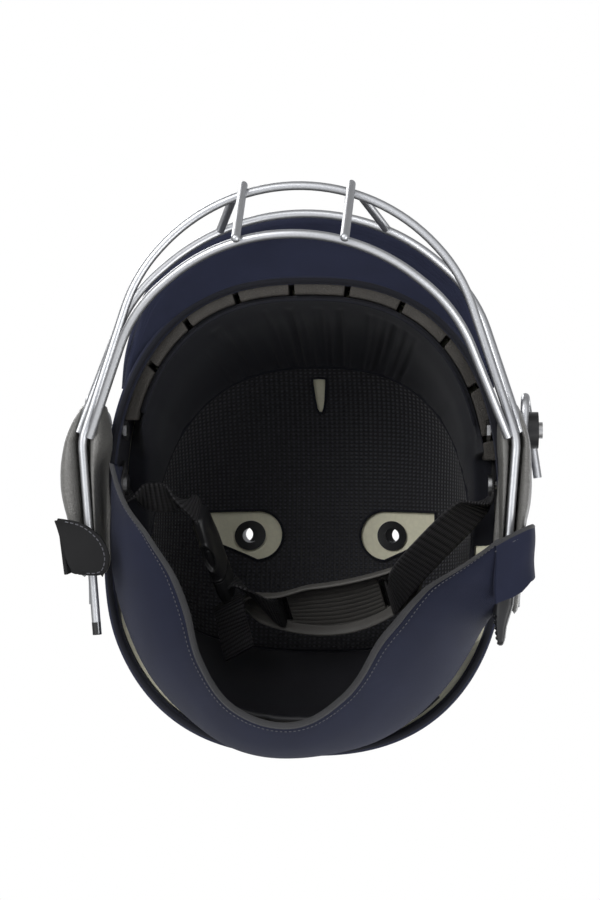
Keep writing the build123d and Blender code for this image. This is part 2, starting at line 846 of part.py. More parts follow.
def edge_outline(rib):
    points = rib_points(rib)
    bottom, above = points[-1], points[-2]
    run, fall = unit(bottom[0] - above[0], bottom[1] - above[1])
    start = (bottom[0] - run * binding_height, bottom[1] - fall * binding_height)
    stretch = [start, (bottom[0] + run * guard_thickness / 4, bottom[1] + fall * guard_thickness / 4)]
    return (offset_points(stretch, binding_thickness / 2), offset_points(stretch, -binding_thickness / 2))


def strip_outline(rib):
    points = rib_points(rib)[:2]
    inner = points[0][0] - guard_thickness / 2 - glue_gap
    bottom = points[0][1] - fixing_height
    return ([(inner, points[0][1]), (inner, bottom)],
            [(inner - fixing_thickness, points[0][1]), (inner - fixing_thickness, bottom)])


all_ribs = right_ribs + tucked_ribs + left_ribs
with BuildPart() as shelf:
    with BuildSketch(Plane(at(0, 0, -rim_z - tall))):
        Rectangle(4 * wide, 4 * far)
    extrude(amount=tall)

with BuildPart() as neck_guard:
    add(flap(all_ribs, whole_outline))
    add(shelf.part, mode=Mode.SUBTRACT)
    add(outer_shell.part, mode=Mode.SUBTRACT)
    add(cloth_cover.part, mode=Mode.SUBTRACT)
neck_guard.part.label = "neck_guard"

with BuildPart() as guard_binding:
    add(flap(all_ribs, edge_outline))
    add(neck_guard.part, mode=Mode.SUBTRACT)
    add(shelf.part, mode=Mode.SUBTRACT)
guard_binding.part.label = "guard_binding"

with BuildPart() as guard_fixing_strip:
    add(flap(tucked_ribs[1:-1], strip_outline))
    add(neck_guard.part, mode=Mode.SUBTRACT)
guard_fixing_strip.part.label = "guard_fixing_strip"

# Hook tabs under the wires
tab_corner = tab_thickness * 3
with BuildPart() as grip_tab_right:
    with BuildSketch(Plane(at(0, 0, tab_right_level))):
        with BuildLine():
            Polyline((-tab_right_x[1], tab_right_y[0]), (-tab_right_x[0], tab_right_y[0]),
                     (-tab_right_x[0], tab_right_y[1]), (-tab_right_x[1], tab_right_y[1]), close=True)
        make_face()
        fillet(vertices().group_by(Axis.X)[-1], tab_corner)
    extrude(amount=tab_thickness)
grip_tab_right.part.label = "grip_tab_right"

root_near = pad_clear + pad_outer + glue_gap
with BuildPart() as grip_tab_root:
    with BuildSketch(Plane(at(0, 0, tab_right_level + tab_thickness + tab_gap))):
        with BuildLine():
            Polyline((-wire_line(tab_right_y[0]) - root_near, tab_right_y[0]),
                     (-wire_line(tab_right_y[0]) - root_near - tab_thickness, tab_right_y[0]),
                     (-wire_line(tab_right_y[1]) - root_near - tab_thickness, tab_right_y[1]),
                     (-wire_line(tab_right_y[1]) - root_near, tab_right_y[1]), close=True)
        make_face()
    extrude(amount=tab_root_top - tab_right_level - tab_thickness - tab_gap)
grip_tab_root.part.label = "grip_tab_root"

with BuildPart() as wrap_tab_left:
    middle_y = (tab_left_y[0] + tab_left_y[1]) / 2
    wrap_length = tab_left_y[1] - tab_left_y[0]
    with BuildSketch(Plane(at(0, middle_y, 0), x_dir=(1, 0, 0), z_dir=(0, -1, 0))):
        with BuildLine():
            inner, outer = tab_left_x
            low, high = tab_left_level, tab_left_level + tab_left_rise
            Polyline((inner, low), (outer, low), (outer, high), (outer - tab_thickness, high),
                     (outer - tab_thickness, low + tab_thickness), (inner, low + tab_thickness),
                     close=True)
        make_face()
        fillet(vertices().group_by(Axis.Y)[0].sort_by(Axis.X)[-1], tab_thickness)
    extrude(amount=wrap_length / 2, both=True)
wrap_tab_left.part.label = "wrap_tab_left"

# Chin strap
tilt = radians(strap_tilt)
strap_plane = Plane(at(0, rivet_y, rivet_z), x_dir=(1, 0, 0), z_dir=(0, -sin(tilt), cos(tilt)))
lug_x = wall_x(foam_inset, rivet_y, rivet_z) - strap_wall_gap
run_level = cup_depth / 2 + webbing_thickness
cup_plane = Plane(strap_plane.from_local_coords(Vector(*cup_middle, 0)),
                  x_dir=strap_plane.x_dir * cos(radians(cup_turn)) + strap_plane.y_dir * sin(radians(cup_turn)),
                  z_dir=strap_plane.z_dir)


def ribbon(points, width):
    """Outline of a band of even width along an open route, with mitred corners."""
    sides = {1: [], -1: []}
    for index, (x, y) in enumerate(points):
        before = points[max(index - 1, 0)]
        after = points[min(index + 1, len(points) - 1)]
        first = unit(x - before[0], y - before[1]) if index else None
        last = unit(after[0] - x, after[1] - y) if index < len(points) - 1 else None
        first, last = first or last, last or first
        nx, ny = unit(-first[1] - last[1], first[0] + last[0])
        spread = width / 2 / (nx * -first[1] + ny * first[0])
        for turn in sides:
            sides[turn].append((x + turn * nx * spread, y + turn * ny * spread))
    return sides[1] + sides[-1][::-1]


def strap_slab(outline, bottom, top):
    """Extrudes an outline on the strap's plane between two levels."""
    with BuildPart() as slab:
        with BuildSketch(strap_plane.offset(bottom)):
            with BuildLine():
                Polyline(*outline, close=True)
            make_face()
        extrude(amount=top - bottom)
    return slab.part


def in_cup(p, q):
    """Strap plane coordinates of a point given along and across the chin cup."""
    turn = radians(cup_turn)
    return (cup_middle[0] + p * cos(turn) - q * sin(turn),
            cup_middle[1] + p * sin(turn) + q * cos(turn))


def lug(side):
    """Round end of the webbing, flat against the shell, with the rivet's hole."""
    with BuildPart() as disc:
        with BuildSketch(across(side, rivet_y, rivet_z, lug_x - webbing_thickness)):
            Circle(webbing_width / 2)
        extrude(amount=webbing_thickness)
    return disc.part


mid_lug = lug_x - webbing_thickness / 2
half_web = webbing_width / 2
slot_web = webbing_thickness / 2
patch_reach = cup_slot_p + strap_patch


def slot_drop(side):
    """The stretch of webbing that goes through one slot of the cup."""
    p = side * cup_slot_p
    return [in_cup(p - slot_web, -half_web), in_cup(p + slot_web, -half_web),
            in_cup(p + slot_web, half_web), in_cup(p - slot_web, half_web)]


bridge_level = cup_depth / 2 + webbing_thickness + fit_gap
with BuildPart() as strap_long:
    add(lug(LEFT))
    fold_end = (long_run[0][0], long_run[0][1] + strap_bend)
    add(strap_slab(ribbon([(mid_lug, 0), (mid_lug, strap_bend), fold_end], webbing_thickness),
                   -half_web, half_web))
    add(strap_slab(ribbon(long_run, webbing_width), -run_level - webbing_thickness, -run_level))
    add(strap_slab([in_cup(cup_slot_p - slot_web, -half_web), in_cup(patch_reach, -half_web),
                    in_cup(patch_reach, half_web), in_cup(cup_slot_p - slot_web, half_web)],
                   -run_level - webbing_thickness, -run_level))
    add(strap_slab(slot_drop(LEFT), -run_level - slot_web, bridge_level))
    add(rivet_drill, mode=Mode.SUBTRACT)
strap_long.part.label = "strap_long"

with BuildPart() as strap_bridge:
    reach = cup_slot_p + slot_web
    add(strap_slab([in_cup(-reach, -half_web), in_cup(reach, -half_web), in_cup(reach, half_web),
                    in_cup(-reach, half_web)], bridge_level, bridge_level + webbing_thickness))
strap_bridge.part.label = "strap_bridge"

with BuildPart() as strap_short:
    add(lug(RIGHT))
    add(strap_slab(ribbon([(-mid_lug, 0), (-mid_lug, strap_bend), short_fold, buckle_start],
                          webbing_thickness), -half_web, half_web))
    add(rivet_drill, mode=Mode.SUBTRACT)

with BuildPart() as strap_rivets:
    for side in (RIGHT, LEFT):
        inner = lug_x - webbing_thickness - fit_gap
        outside = wall_x(0, rivet_y, rivet_z) + fit_gap
        with BuildSketch(across(side, rivet_y, rivet_z, inner - rivet_head_height)):
            Circle(rivet_head_radius)
        extrude(amount=rivet_head_height)
        with BuildSketch(across(side, rivet_y, rivet_z, inner)):
            Circle(rivet_radius)
        extrude(amount=outside - inner)
        with BuildSketch(across(side, rivet_y, rivet_z, outside)):
            Circle(rivet_head_radius)
        extrude(amount=rivet_head_height)
strap_rivets.part.label = "strap_rivets"

# Buckle, drawn along its own length with its width across the strap's plane
ax, ay = unit(buckle_aim[0] - buckle_start[0], buckle_aim[1] - buckle_start[1])
buckle_plane = Plane(strap_plane.from_local_coords(Vector(*buckle_start, 0)),
                     x_dir=strap_plane.x_dir * ax + strap_plane.y_dir * ay,
                     z_dir=strap_plane.z_dir)
half_buckle = buckle_width / 2
prong_z = half_buckle - prong_width / 2 - 1.4 * prong_thick / 2
clip_start = socket_length + prong_gap
clip_end = clip_start + clip_length


def buckle_box(x_from, x_to, half_thick, z_from, z_to):
    with BuildPart() as box:
        with BuildSketch(buckle_plane.offset(z_from)):
            with BuildLine():
                Polyline((x_from, -half_thick), (x_to, -half_thick), (x_to, half_thick),
                         (x_from, half_thick), close=True)
            make_face()
        extrude(amount=z_to - z_from)
    return box.part


with BuildPart() as buckle_socket:
    add(buckle_box(0, socket_length, buckle_thick / 2, -half_buckle, half_buckle))
    fillet(buckle_socket.edges(), buckle_thick / 5)
    add(buckle_box(socket_length - prong_length - prong_gap, socket_length + prong_gap,
                   prong_thick / 2 + prong_gap, -prong_z - prong_width / 2 - prong_gap,
                   prong_z + prong_width / 2 + prong_gap), mode=Mode.SUBTRACT)
    add(buckle_box(socket_length - prong_length, socket_length - prong_length / 2,
                   prong_thick / 2 + prong_gap, -buckle_width, buckle_width), mode=Mode.SUBTRACT)
    add(buckle_box(bar_slot, 2 * bar_slot, buckle_thick, -half_buckle + bar_slot,
                   half_buckle - bar_slot), mode=Mode.SUBTRACT)
buckle_socket.part.label = "buckle_socket"

with BuildPart() as buckle_clip:
    add(buckle_box(clip_start, clip_end, buckle_thick / 2, -half_buckle, half_buckle))
    fillet(buckle_clip.edges(), buckle_thick / 5)
    for turn in (RIGHT, LEFT):
        low = min(turn * (prong_z - prong_width / 2), turn * (prong_z + prong_width / 2))
        add(buckle_box(socket_length - prong_length, clip_start + prong_thick, prong_thick / 2,
                       low, low + prong_width))
    add(buckle_box(clip_end - 2 * bar_slot, clip_end - bar_slot, buckle_thick,
                   -half_buckle + bar_slot, half_buckle - bar_slot), mode=Mode.SUBTRACT)
buckle_clip.part.label = "buckle_clip"

with BuildPart() as short_trim:
    add(strap_short.part)
    add(buckle_box(0, socket_length, buckle_thick, -buckle_width, buckle_width), mode=Mode.SUBTRACT)
short_trim.part.label = "strap_short"


def on_buckle(along, side_step):
    """Strap plane coordinates of a point along and beside the buckle."""
    return (buckle_start[0] + along * ax + side_step * ay, buckle_start[1] + along * ay - side_step * ax)


with BuildPart() as strap_link:
    face = buckle_thick / 2 + fit_gap
    add(strap_slab([on_buckle(clip_start + bar_slot / 2, face), in_cup(-cup_slot_p + slot_web, -half_web),
                    in_cup(-cup_slot_p + slot_web, half_web), in_cup(-patch_reach, half_web),
                    on_buckle(clip_end - bar_slot / 2, face)],
                   -run_level - webbing_thickness, -run_level))
    add(strap_slab(slot_drop(RIGHT), -run_level - slot_web, bridge_level))
strap_link.part.label = "strap_link"

with BuildPart() as strap_tail:
    near_end = strap_plane.from_local_coords(Vector(*on_buckle(clip_end + fit_gap, 0), tail_start_level))
    far_end = strap_plane.from_local_coords(
        Vector(tail_tip_x, half_length - tail_rear_gap, tail_tip_level))
    heading = far_end - near_end
    spread = heading.cross(strap_plane.z_dir).normalized()
    with BuildSketch(Plane(near_end, x_dir=spread, z_dir=heading)):
        Rectangle(webbing_width, tail_thickness)
    extrude(amount=heading.length)
    add(buckle_clip.part, mode=Mode.SUBTRACT)
strap_tail.part.label = "strap_tail"

# Chin cup: a bowed tray with a lip, slots for the webbing and a grooved floor
with BuildPart() as chin_cup:
    with BuildSketch(cup_plane.offset(-cup_depth / 2)):
        with BuildLine():
            near_right, near_left = (-cup_half_length, cup_end_near), (cup_half_length, cup_end_near)
            far_right, far_left = (-cup_half_length, cup_end_far), (cup_half_length, cup_end_far)
            ThreePointArc(far_right, (0, cup_end_far + cup_outer_bow), far_left)
            Line(far_left, near_left)
            ThreePointArc(near_left, (0, cup_end_near + cup_inner_bow), near_right)
            Line(near_right, far_right)
        make_face()
        fillet(vertices(), cup_corner)
    extrude(amount=cup_depth)
    with BuildSketch(cup_plane.offset(-cup_depth / 2)):
        with BuildLine():
            inset = cup_lip
            ThreePointArc((-cup_half_length + inset, cup_end_far - inset / 2),
                          (0, cup_end_far + cup_outer_bow - inset),
                          (cup_half_length - inset, cup_end_far - inset / 2))
            Line((cup_half_length - inset, cup_end_far - inset / 2),
                 (cup_half_length - inset, cup_end_near + inset))
            ThreePointArc((cup_half_length - inset, cup_end_near + inset),
                          (0, cup_end_near + cup_inner_bow + inset),
                          (-cup_half_length + inset, cup_end_near + inset))
            Line((-cup_half_length + inset, cup_end_near + inset),
                 (-cup_half_length + inset, cup_end_far - inset / 2))
        make_face()
    extrude(amount=cup_depth - cup_floor, mode=Mode.SUBTRACT)
    with BuildSketch(cup_plane.offset(-cup_depth)):
        with Locations((-cup_slot_p, 0), (cup_slot_p, 0)):
            Rectangle(cup_slot_travel, webbing_width + 2 * fit_gap)
    extrude(amount=2 * cup_depth, mode=Mode.SUBTRACT)
    with BuildSketch(cup_plane.offset(cup_depth / 2 - cup_floor)):
        with GridLocations(groove_pitch, 0, groove_count, 1):
            Rectangle(groove_depth, webbing_width / 2)
    extrude(amount=groove_depth, mode=Mode.SUBTRACT)
chin_cup.part.label = "chin_cup"

export_step(cloth_cover.part, "parts/cloth_cover.step")
export_step(outer_shell.part, "parts/outer_shell.step")
export_step(foam_liner.part, "parts/foam_liner.step")
export_step(crown_button.part, "parts/crown_button.step")
export_step(brow_band.part, "parts/brow_band.step")
export_step(comfort_ring.part, "parts/comfort_ring.step")
export_step(crown_mesh.part, "parts/crown_mesh.step")
export_step(nape_pad.part, "parts/nape_pad.step")
export_step(peak.part, "parts/peak.step")
export_step(middle_bar, "parts/grille_middle_bar.step")
export_step(lower_bar, "parts/grille_lower_bar.step")
export_step(upper_bar, "parts/grille_top_bar.step")
export_step(front_rods.part, "parts/grille_front_rods.step")
export_step(upper_rods.part, "parts/grille_upper_rods.step")
export_step(temple_bolts.part, "parts/temple_bolts.step")
export_step(temple_nuts.part, "parts/temple_nuts.step")
export_step(neck_guard.part, "parts/neck_guard.step")
export_step(guard_binding.part, "parts/guard_binding.step")
export_step(guard_fixing_strip.part, "parts/guard_fixing_strip.step")
export_step(grip_tab_right.part, "parts/grip_tab_right.step")
export_step(grip_tab_root.part, "parts/grip_tab_root.step")
export_step(wrap_tab_left.part, "parts/wrap_tab_left.step")
export_step(strap_rivets.part, "parts/strap_rivets.step")
export_step(strap_long.part, "parts/strap_long.step")
export_step(strap_bridge.part, "parts/strap_bridge.step")
export_step(strap_link.part, "parts/strap_link.step")
export_step(short_trim.part, "parts/strap_short.step")
export_step(strap_tail.part, "parts/strap_tail.step")
export_step(chin_cup.part, "parts/chin_cup.step")
export_step(buckle_socket.part, "parts/buckle_socket.step")
export_step(buckle_clip.part, "parts/buckle_clip.step")
for eyelet_part in eyelets:
    export_step(eyelet_part, f"parts/{eyelet_part.label}.step")
for paired in (loops, ear_pads, clamps):
    for one in paired.values():
        export_step(one, f"parts/{one.label}.step")
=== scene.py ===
# %% [markdown]
# # A cricket helmet, seen from below
# The construction model already fixes every size. This lesson dresses it: the stiff
# parts keep their shape and get a finish, and everything sewn, padded or woven is
# modelled again as cloth, foam or webbing. Lengths below are millimetres, counted from
# the middle of the brow rim, and `place` turns them into the metres of the scene.

# %% Load the construction model
import bpy
import bmesh
import random
from math import atan2, cos, degrees, pi, radians, sin, sqrt
from mathutils import Matrix, Vector
from mathutils.bvhtree import BVHTree


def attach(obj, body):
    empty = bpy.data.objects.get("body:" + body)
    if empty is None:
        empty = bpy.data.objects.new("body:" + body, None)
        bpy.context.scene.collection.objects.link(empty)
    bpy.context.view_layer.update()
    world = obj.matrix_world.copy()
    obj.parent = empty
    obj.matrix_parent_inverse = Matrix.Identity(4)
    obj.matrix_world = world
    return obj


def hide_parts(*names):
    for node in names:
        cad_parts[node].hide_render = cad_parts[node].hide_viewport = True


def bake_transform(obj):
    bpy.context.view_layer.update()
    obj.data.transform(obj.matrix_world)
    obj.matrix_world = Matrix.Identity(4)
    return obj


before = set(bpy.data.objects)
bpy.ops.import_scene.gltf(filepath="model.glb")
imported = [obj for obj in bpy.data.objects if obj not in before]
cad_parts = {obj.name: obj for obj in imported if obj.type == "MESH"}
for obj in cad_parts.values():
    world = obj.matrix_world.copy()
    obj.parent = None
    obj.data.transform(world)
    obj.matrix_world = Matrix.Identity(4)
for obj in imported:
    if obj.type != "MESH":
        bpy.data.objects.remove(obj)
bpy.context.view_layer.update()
shell_y, rim_z = 22.041, 106.533
random.seed(7)


def place(x, y, z):
    """Millimetres from the middle of the brow rim to a point in the scene."""
    return Vector((x, y + shell_y, z + rim_z)) / 1000


def in_mm(spot):
    """A point in the scene back to millimetres from the middle of the brow rim."""
    return spot * 1000 - Vector((0, shell_y, rim_z))


# %% [markdown]
# The photographer stood the helmet on its crown and looked into it, which is the same
# as looking up from under a helmet that stands upright. So the camera goes below the
# shelf, and the shelf is made see-through from underneath.

# %% Camera
cam_data = bpy.data.cameras.new("photo_camera")
cam_data.sensor_fit = "VERTICAL"
cam_data.sensor_height = 36.0
cam_data.lens = 72.7
cam_data.clip_end = 20.0
camera = bpy.data.objects.new("photo_camera", cam_data)
bpy.context.scene.collection.objects.link(camera)
look = Vector((-0.0785, 0.0, 0.9969))
right = Vector((0.9969, 0.0, 0.0785))
up = Vector((0.0, -1.0, 0.0))
turn = Matrix((right, up, -look)).transposed()
camera.matrix_world = Matrix.Translation(place(75.2, -33.3, -997.0)) @ turn.to_4x4()
bpy.context.scene.camera = camera
bpy.context.scene.view_settings.view_transform = "Standard"
print("camera at", [round(v, 3) for v in camera.location])


# %% [markdown]
# The world, the floor and every finish are small networks of nodes. These helpers add a
# node with its settings, a step of arithmetic, and a choice between two shaders.

# %% Node helpers
def fill_in(tree, node, inputs):
    """Sets a node's inputs: a socket is linked, and any other value is set."""
    for key, value in inputs.items():
        if isinstance(value, bpy.types.NodeSocket):
            tree.links.new(value, node.inputs[key])
        else:
            node.inputs[key].default_value = value


def add_node(tree, kind, inputs=None, **settings):
    """Adds a shader node with its settings and inputs."""
    node = tree.nodes.new("ShaderNode" + kind)
    for key, value in settings.items():
        setattr(node, key, value)
    fill_in(tree, node, inputs or {})
    return node


def math_node(tree, operation, a, b=None):
    """Adds a Math node; a and b are sockets or numbers."""
    given = {0: a} if b is None else {0: a, 1: b}
    return add_node(tree, "Math", given, operation=operation).outputs[0]


def glow(tree, color, strength):
    """A background of one colour, or of a colour socket."""
    return add_node(tree, "Background", {"Color": color, "Strength": strength}).outputs[0]


def choose(tree, mask, first, second):
    """The first shader where the mask is 0 and the second where it is 1."""
    return add_node(tree, "MixShader", {0: mask, 1: first, 2: second}).outputs[0]


# %% [markdown]
# A studio sweep is pale and even. The world is plain white to the camera and gives only
# a soft fill to the object, but a reflection sees it as a studio: bright overhead and
# underneath, dark towards the horizon, which models round wire. Large soft lamps stand
# above and below, because this object is looked at from both sides.

# %% World
world = bpy.data.worlds.new("studio")
bpy.context.scene.world = world
world.use_nodes = True
tree = world.node_tree
tree.nodes.clear()
rays = add_node(tree, "LightPath").outputs
heading = add_node(tree, "TexCoord").outputs["Generated"]
rise = add_node(tree, "SeparateXYZ", {0: heading}).outputs["Z"]
level = add_node(tree, "MapRange", {"Value": rise, "From Min": -1.0}).outputs["Result"]
bands = add_node(tree, "ValToRGB", {"Fac": level})
bands.color_ramp.elements[0].color = (0.66, 0.67, 0.70, 1)
bands.color_ramp.elements[1].color = (0.60, 0.61, 0.64, 1)
for spot, tone in ((0.15, 0.85), (0.28, 0.48), (0.44, 0.16), (0.60, 0.2), (0.80, 0.5)):
    bands.color_ramp.elements.new(spot).color = (tone, tone, tone, 1)
studio = glow(tree, bands.outputs["Color"], 1.0)
fill = glow(tree, (0.93, 0.95, 1.0, 1), 0.6)
white = glow(tree, (1, 1, 1, 1), 1.0)
seen = math_node(tree, "MAXIMUM", rays["Is Camera Ray"], rays["Is Transmission Ray"])
unseen = choose(tree, rays["Is Glossy Ray"], fill, studio)
add_node(tree, "OutputWorld", {0: choose(tree, seen, unseen, white)})
print("world nodes", len(tree.nodes))

# %% Floor
bpy.ops.object.select_all(action="DESELECT")
bpy.ops.mesh.primitive_plane_add(size=6.0, location=(0, 0, -0.0006))
floor = bpy.context.object
floor.name = "studio_floor"
bpy.ops.object.transform_apply(location=True)
floor_paint = bpy.data.materials.new("pale_floor")
floor_paint.use_nodes = True
tree = floor_paint.node_tree
tree.nodes.clear()
rays = add_node(tree, "LightPath").outputs
below = add_node(tree, "NewGeometry").outputs["Backfacing"]
unlit = math_node(tree, "MAXIMUM", rays["Is Shadow Ray"], rays["Is Glossy Ray"])
paint = add_node(tree, "BsdfDiffuse", {"Color": (0.86, 0.86, 0.86, 1)}).outputs[0]
clear = add_node(tree, "BsdfTransparent").outputs[0]
hidden = math_node(tree, "MAXIMUM", below, unlit)
add_node(tree, "OutputMaterial", {0: choose(tree, hidden, paint, clear)})
floor.data.materials.append(floor_paint)
print("floor", floor.name)


# %% Lamps
def soft_lamp(name, spot, aim, size, power):
    """A square lamp that looks at a point, in metres and watts."""
    data = bpy.data.lights.new(name, "AREA")
    data.size = size
    data.energy = power
    lamp = bpy.data.objects.new(name, data)
    bpy.context.scene.collection.objects.link(lamp)
    lamp.location = spot
    lamp.rotation_euler = (Vector(aim) - Vector(spot)).to_track_quat("-Z", "Y").to_euler()
    return lamp


soft_lamp("key_above", (-1.2, -1.4, 1.9), (0, 0, 0.15), 1.4, 34)
soft_lamp("fill_above", (1.6, 1.0, 1.6), (0, 0, 0.15), 1.6, 20)
soft_lamp("key_below", (-0.9, -0.7, -1.25), (0, 0.02, 0.12), 1.1, 17)
soft_lamp("fill_below", (1.1, 0.7, -1.1), (0, 0.02, 0.12), 1.2, 11)


# %% [markdown]
# Several finishes share the same small effects. Each effect is a node group that takes
# a place on the surface and gives back a value: the over-and-under of a weave, the ribs
# of webbing, the grain of leather. Sewn pieces carry a UV map measured in millimetres,
# so a thread has the same width on every one of them.

# %% Effect helpers
def new_group(name, size_label, size):
    """Starts an effect: it takes a place and a size, and gives a height and a shade."""
    group = bpy.data.node_groups.new(name, "ShaderNodeTree")
    for label, way, kind in (("Place", "INPUT", "NodeSocketVector"),
                             (size_label, "INPUT", "NodeSocketFloat"),
                             ("Height", "OUTPUT", "NodeSocketFloat"),
                             ("Shade", "OUTPUT", "NodeSocketFloat")):
        socket = group.interface.new_socket(name=label, in_out=way, socket_type=kind)
        if label == size_label:
            socket.default_value = size
    return group, group.nodes.new("NodeGroupInput").outputs


def end_group(group, height, shade):
    """Gives an effect its two results."""
    end = group.nodes.new("NodeGroupOutput")
    group.links.new(height, end.inputs["Height"])
    group.links.new(shade, end.inputs["Shade"])


def scaled(tree, value, factor, extra):
    """value * factor + extra, where extra is a socket or a number."""
    return math_node(tree, "ADD", math_node(tree, "MULTIPLY", value, factor), extra)


def wave(tree, value, pitch, turn=2 * pi):
    """A sine along a length, which goes through one turn in each pitch."""
    step = math_node(tree, "DIVIDE", value, pitch)
    return math_node(tree, "SINE", math_node(tree, "MULTIPLY", step, turn))


# %% Weave group
weave_group, given = new_group("cloth_weave", "Pitch", 0.8)
split = add_node(weave_group, "SeparateXYZ", {0: given["Place"]}).outputs
warp, weft = (wave(weave_group, split[axis], given["Pitch"]) for axis in (0, 1))
height = scaled(weave_group, math_node(weave_group, "MULTIPLY", warp, weft), 0.5, 0.5)
slub = add_node(weave_group, "TexNoise", {"Vector": given["Place"], "Scale": 0.06, "Detail": 5.0})
shade = scaled(weave_group, slub.outputs["Fac"], 0.62, 0.28)
end_group(weave_group, height, scaled(weave_group, height, 0.22, shade))

# %% Rib group
rib_group, given = new_group("webbing_ribs", "Pitch", 1.7)
split = add_node(rib_group, "SeparateXYZ", {0: given["Place"]}).outputs
rib = math_node(rib_group, "ABSOLUTE", wave(rib_group, split[0], given["Pitch"], pi))
height = scaled(rib_group, wave(rib_group, split[1], 1.1), 0.15, rib)
# The shade of the ribs paints the crests lighter and the grooves darker: a painted highlight and
# painted shade laid over the ribs' real relief.
end_group(rib_group, height, scaled(rib_group, rib, 0.7, 0.3))

# %% Grain group
grain_group, given = new_group("surface_grain", "Cells", 700.0)
cells = add_node(grain_group, "TexVoronoi", {"Vector": given["Place"], "Scale": given["Cells"]},
                 feature="DISTANCE_TO_EDGE")
gap = math_node(grain_group, "MULTIPLY", cells.outputs["Distance"], 4.0)
crease = math_node(grain_group, "MINIMUM", gap, 1.0)
cloud = add_node(grain_group, "TexNoise", {"Vector": given["Place"], "Scale": 45.0, "Detail": 6.0})
shade = scaled(grain_group, cloud.outputs["Fac"], 0.7, 0.35)
end_group(grain_group, crease, scaled(grain_group, crease, 0.18, shade))
print("effects", [g.name for g in bpy.data.node_groups])


# %% [markdown]
# A finish is a Principled shader whose colour and bump come from one of those effects.
# The plain numbers, such as roughness, sheen and coat, are set on the shader itself.

# %% Finish maker
def two_tone(tree, value, low, high):
    """A colour that runs between two tones, each given as (value, colour)."""
    ramp = add_node(tree, "ValToRGB", {"Fac": value})
    for element, (spot, color) in zip(ramp.color_ramp.elements, (low, high)):
        element.position = spot
        element.color = (*color, 1)
    return ramp.outputs["Color"]


def finish(name, color, effect, scale, depth, roughness, metallic=0.0, sheen=0.0, coat=0.0,
           by_map=False, light=1.25, dark=0.72, specular=0.5, rim_shade=0.0):
    """A material whose colour runs from dark to light with the effect's shade."""
    material = bpy.data.materials.new(name)
    material.use_nodes = True
    tree = material.node_tree
    spot = add_node(tree, "TexCoord").outputs["UV" if by_map else "Object"]
    group = add_node(tree, "Group", {0: spot, 1: scale}, node_tree=effect)
    tone = two_tone(tree, group.outputs["Shade"], (0.25, [c * dark for c in color]),
                    (1.0, [min(1.0, c * light) for c in color]))
    # Where rim_shade is given, the colour darkens towards the edges that turn away from the view:
    # painted shade, which stands in for the dark reflections round a curved wire.
    if rim_shade:
        facing = add_node(tree, "LayerWeight", {"Blend": 0.5}).outputs["Facing"]
        dimmed = (*[c * (1 - rim_shade) for c in color], 1)
        tone = add_node(tree, "Mix", {"Factor": facing, "A": tone, "B": dimmed},
                        data_type="RGBA", blend_type="MIX").outputs["Result"]
    bump = add_node(tree, "Bump", {"Height": group.outputs["Height"], "Distance": depth / 1000,
                                   "Strength": 0.9})
    fill_in(tree, tree.nodes["Principled BSDF"], {
        "Roughness": roughness, "Metallic": metallic, "Sheen Weight": sheen,
        "Sheen Roughness": 0.5, "Coat Weight": coat, "Specular IOR Level": specular,
        "Base Color": tone, "Normal": bump.outputs["Normal"]})
    return material


navy_cloth = finish("navy_cloth", (0.0125, 0.0155, 0.036), weave_group, 0.7, 0.10, 0.8,
                    sheen=0.05, by_map=True, specular=0.25)
lining_cloth = finish("lining_cloth", (0.0075, 0.008, 0.0125), weave_group, 0.9, 0.12, 0.85,
                      sheen=0.08, by_map=True, specular=0.25)
tape_cloth = finish("binding_tape", (0.026, 0.026, 0.028), weave_group, 0.9, 0.12, 0.8,
                    sheen=0.12, by_map=True, light=2.2, dark=0.5)
hook_tape = finish("hook_tape", (0.0135, 0.0135, 0.014), weave_group, 0.5, 0.06, 0.6,
                   by_map=True, specular=0.15)
# The webbing's wide spread from dark to light is painted highlight on the rib crests and painted
# shade in the grooves between them.
webbing = finish("black_webbing", (0.011, 0.0105, 0.0115), rib_group, 1.9, 0.6, 0.5,
                 sheen=0.05, by_map=True, dark=0.18, light=2.7, specular=0.3)
ear_leather = finish("ear_leather", (0.135, 0.132, 0.124), grain_group, 620.0, 0.16, 0.4,
                     coat=0.2, dark=0.6)
brow_foam = finish("brow_foam", (0.055, 0.051, 0.046), grain_group, 800.0, 0.22, 0.9, dark=0.45,
                   light=1.5, specular=0.3)
bead_foam = finish("bead_foam", (0.84, 0.81, 0.62), grain_group, 230.0, 0.07, 0.75,
                   light=1.1, dark=0.92)
hard_shell = finish("hard_shell", (0.02, 0.02, 0.024), grain_group, 900.0, 0.03, 0.45)
black_plastic = finish("black_plastic", (0.012, 0.012, 0.013), grain_group, 1400.0, 0.02, 0.36)
cup_rubber = finish("cup_rubber", (0.105, 0.1, 0.092), grain_group, 1100.0, 0.05, 0.5)
# The wire's rim_shade is painted shade along the edges of each bar, and the light and dark spread
# adds a little painted sheen.
bare_wire = finish("silver_wire", (0.60, 0.61, 0.63), grain_group, 500.0, 0.015, 0.36,
                   metallic=0.85, light=1.12, dark=0.85, rim_shade=0.6)
plated_steel = finish("plated_steel", (0.5, 0.5, 0.5), grain_group, 700.0, 0.01, 0.28,
                      metallic=1.0)
thread = finish("stitch_thread", (0.10, 0.10, 0.115), grain_group, 2500.0, 0.02, 0.7, sheen=0.2)
print("finishes", len(bpy.data.materials))


# %% [markdown]
# The crown mesh is a knit with a regular pattern of small dents. It follows the head, so
# its pattern is laid out on the map of the piece, in straight rows.

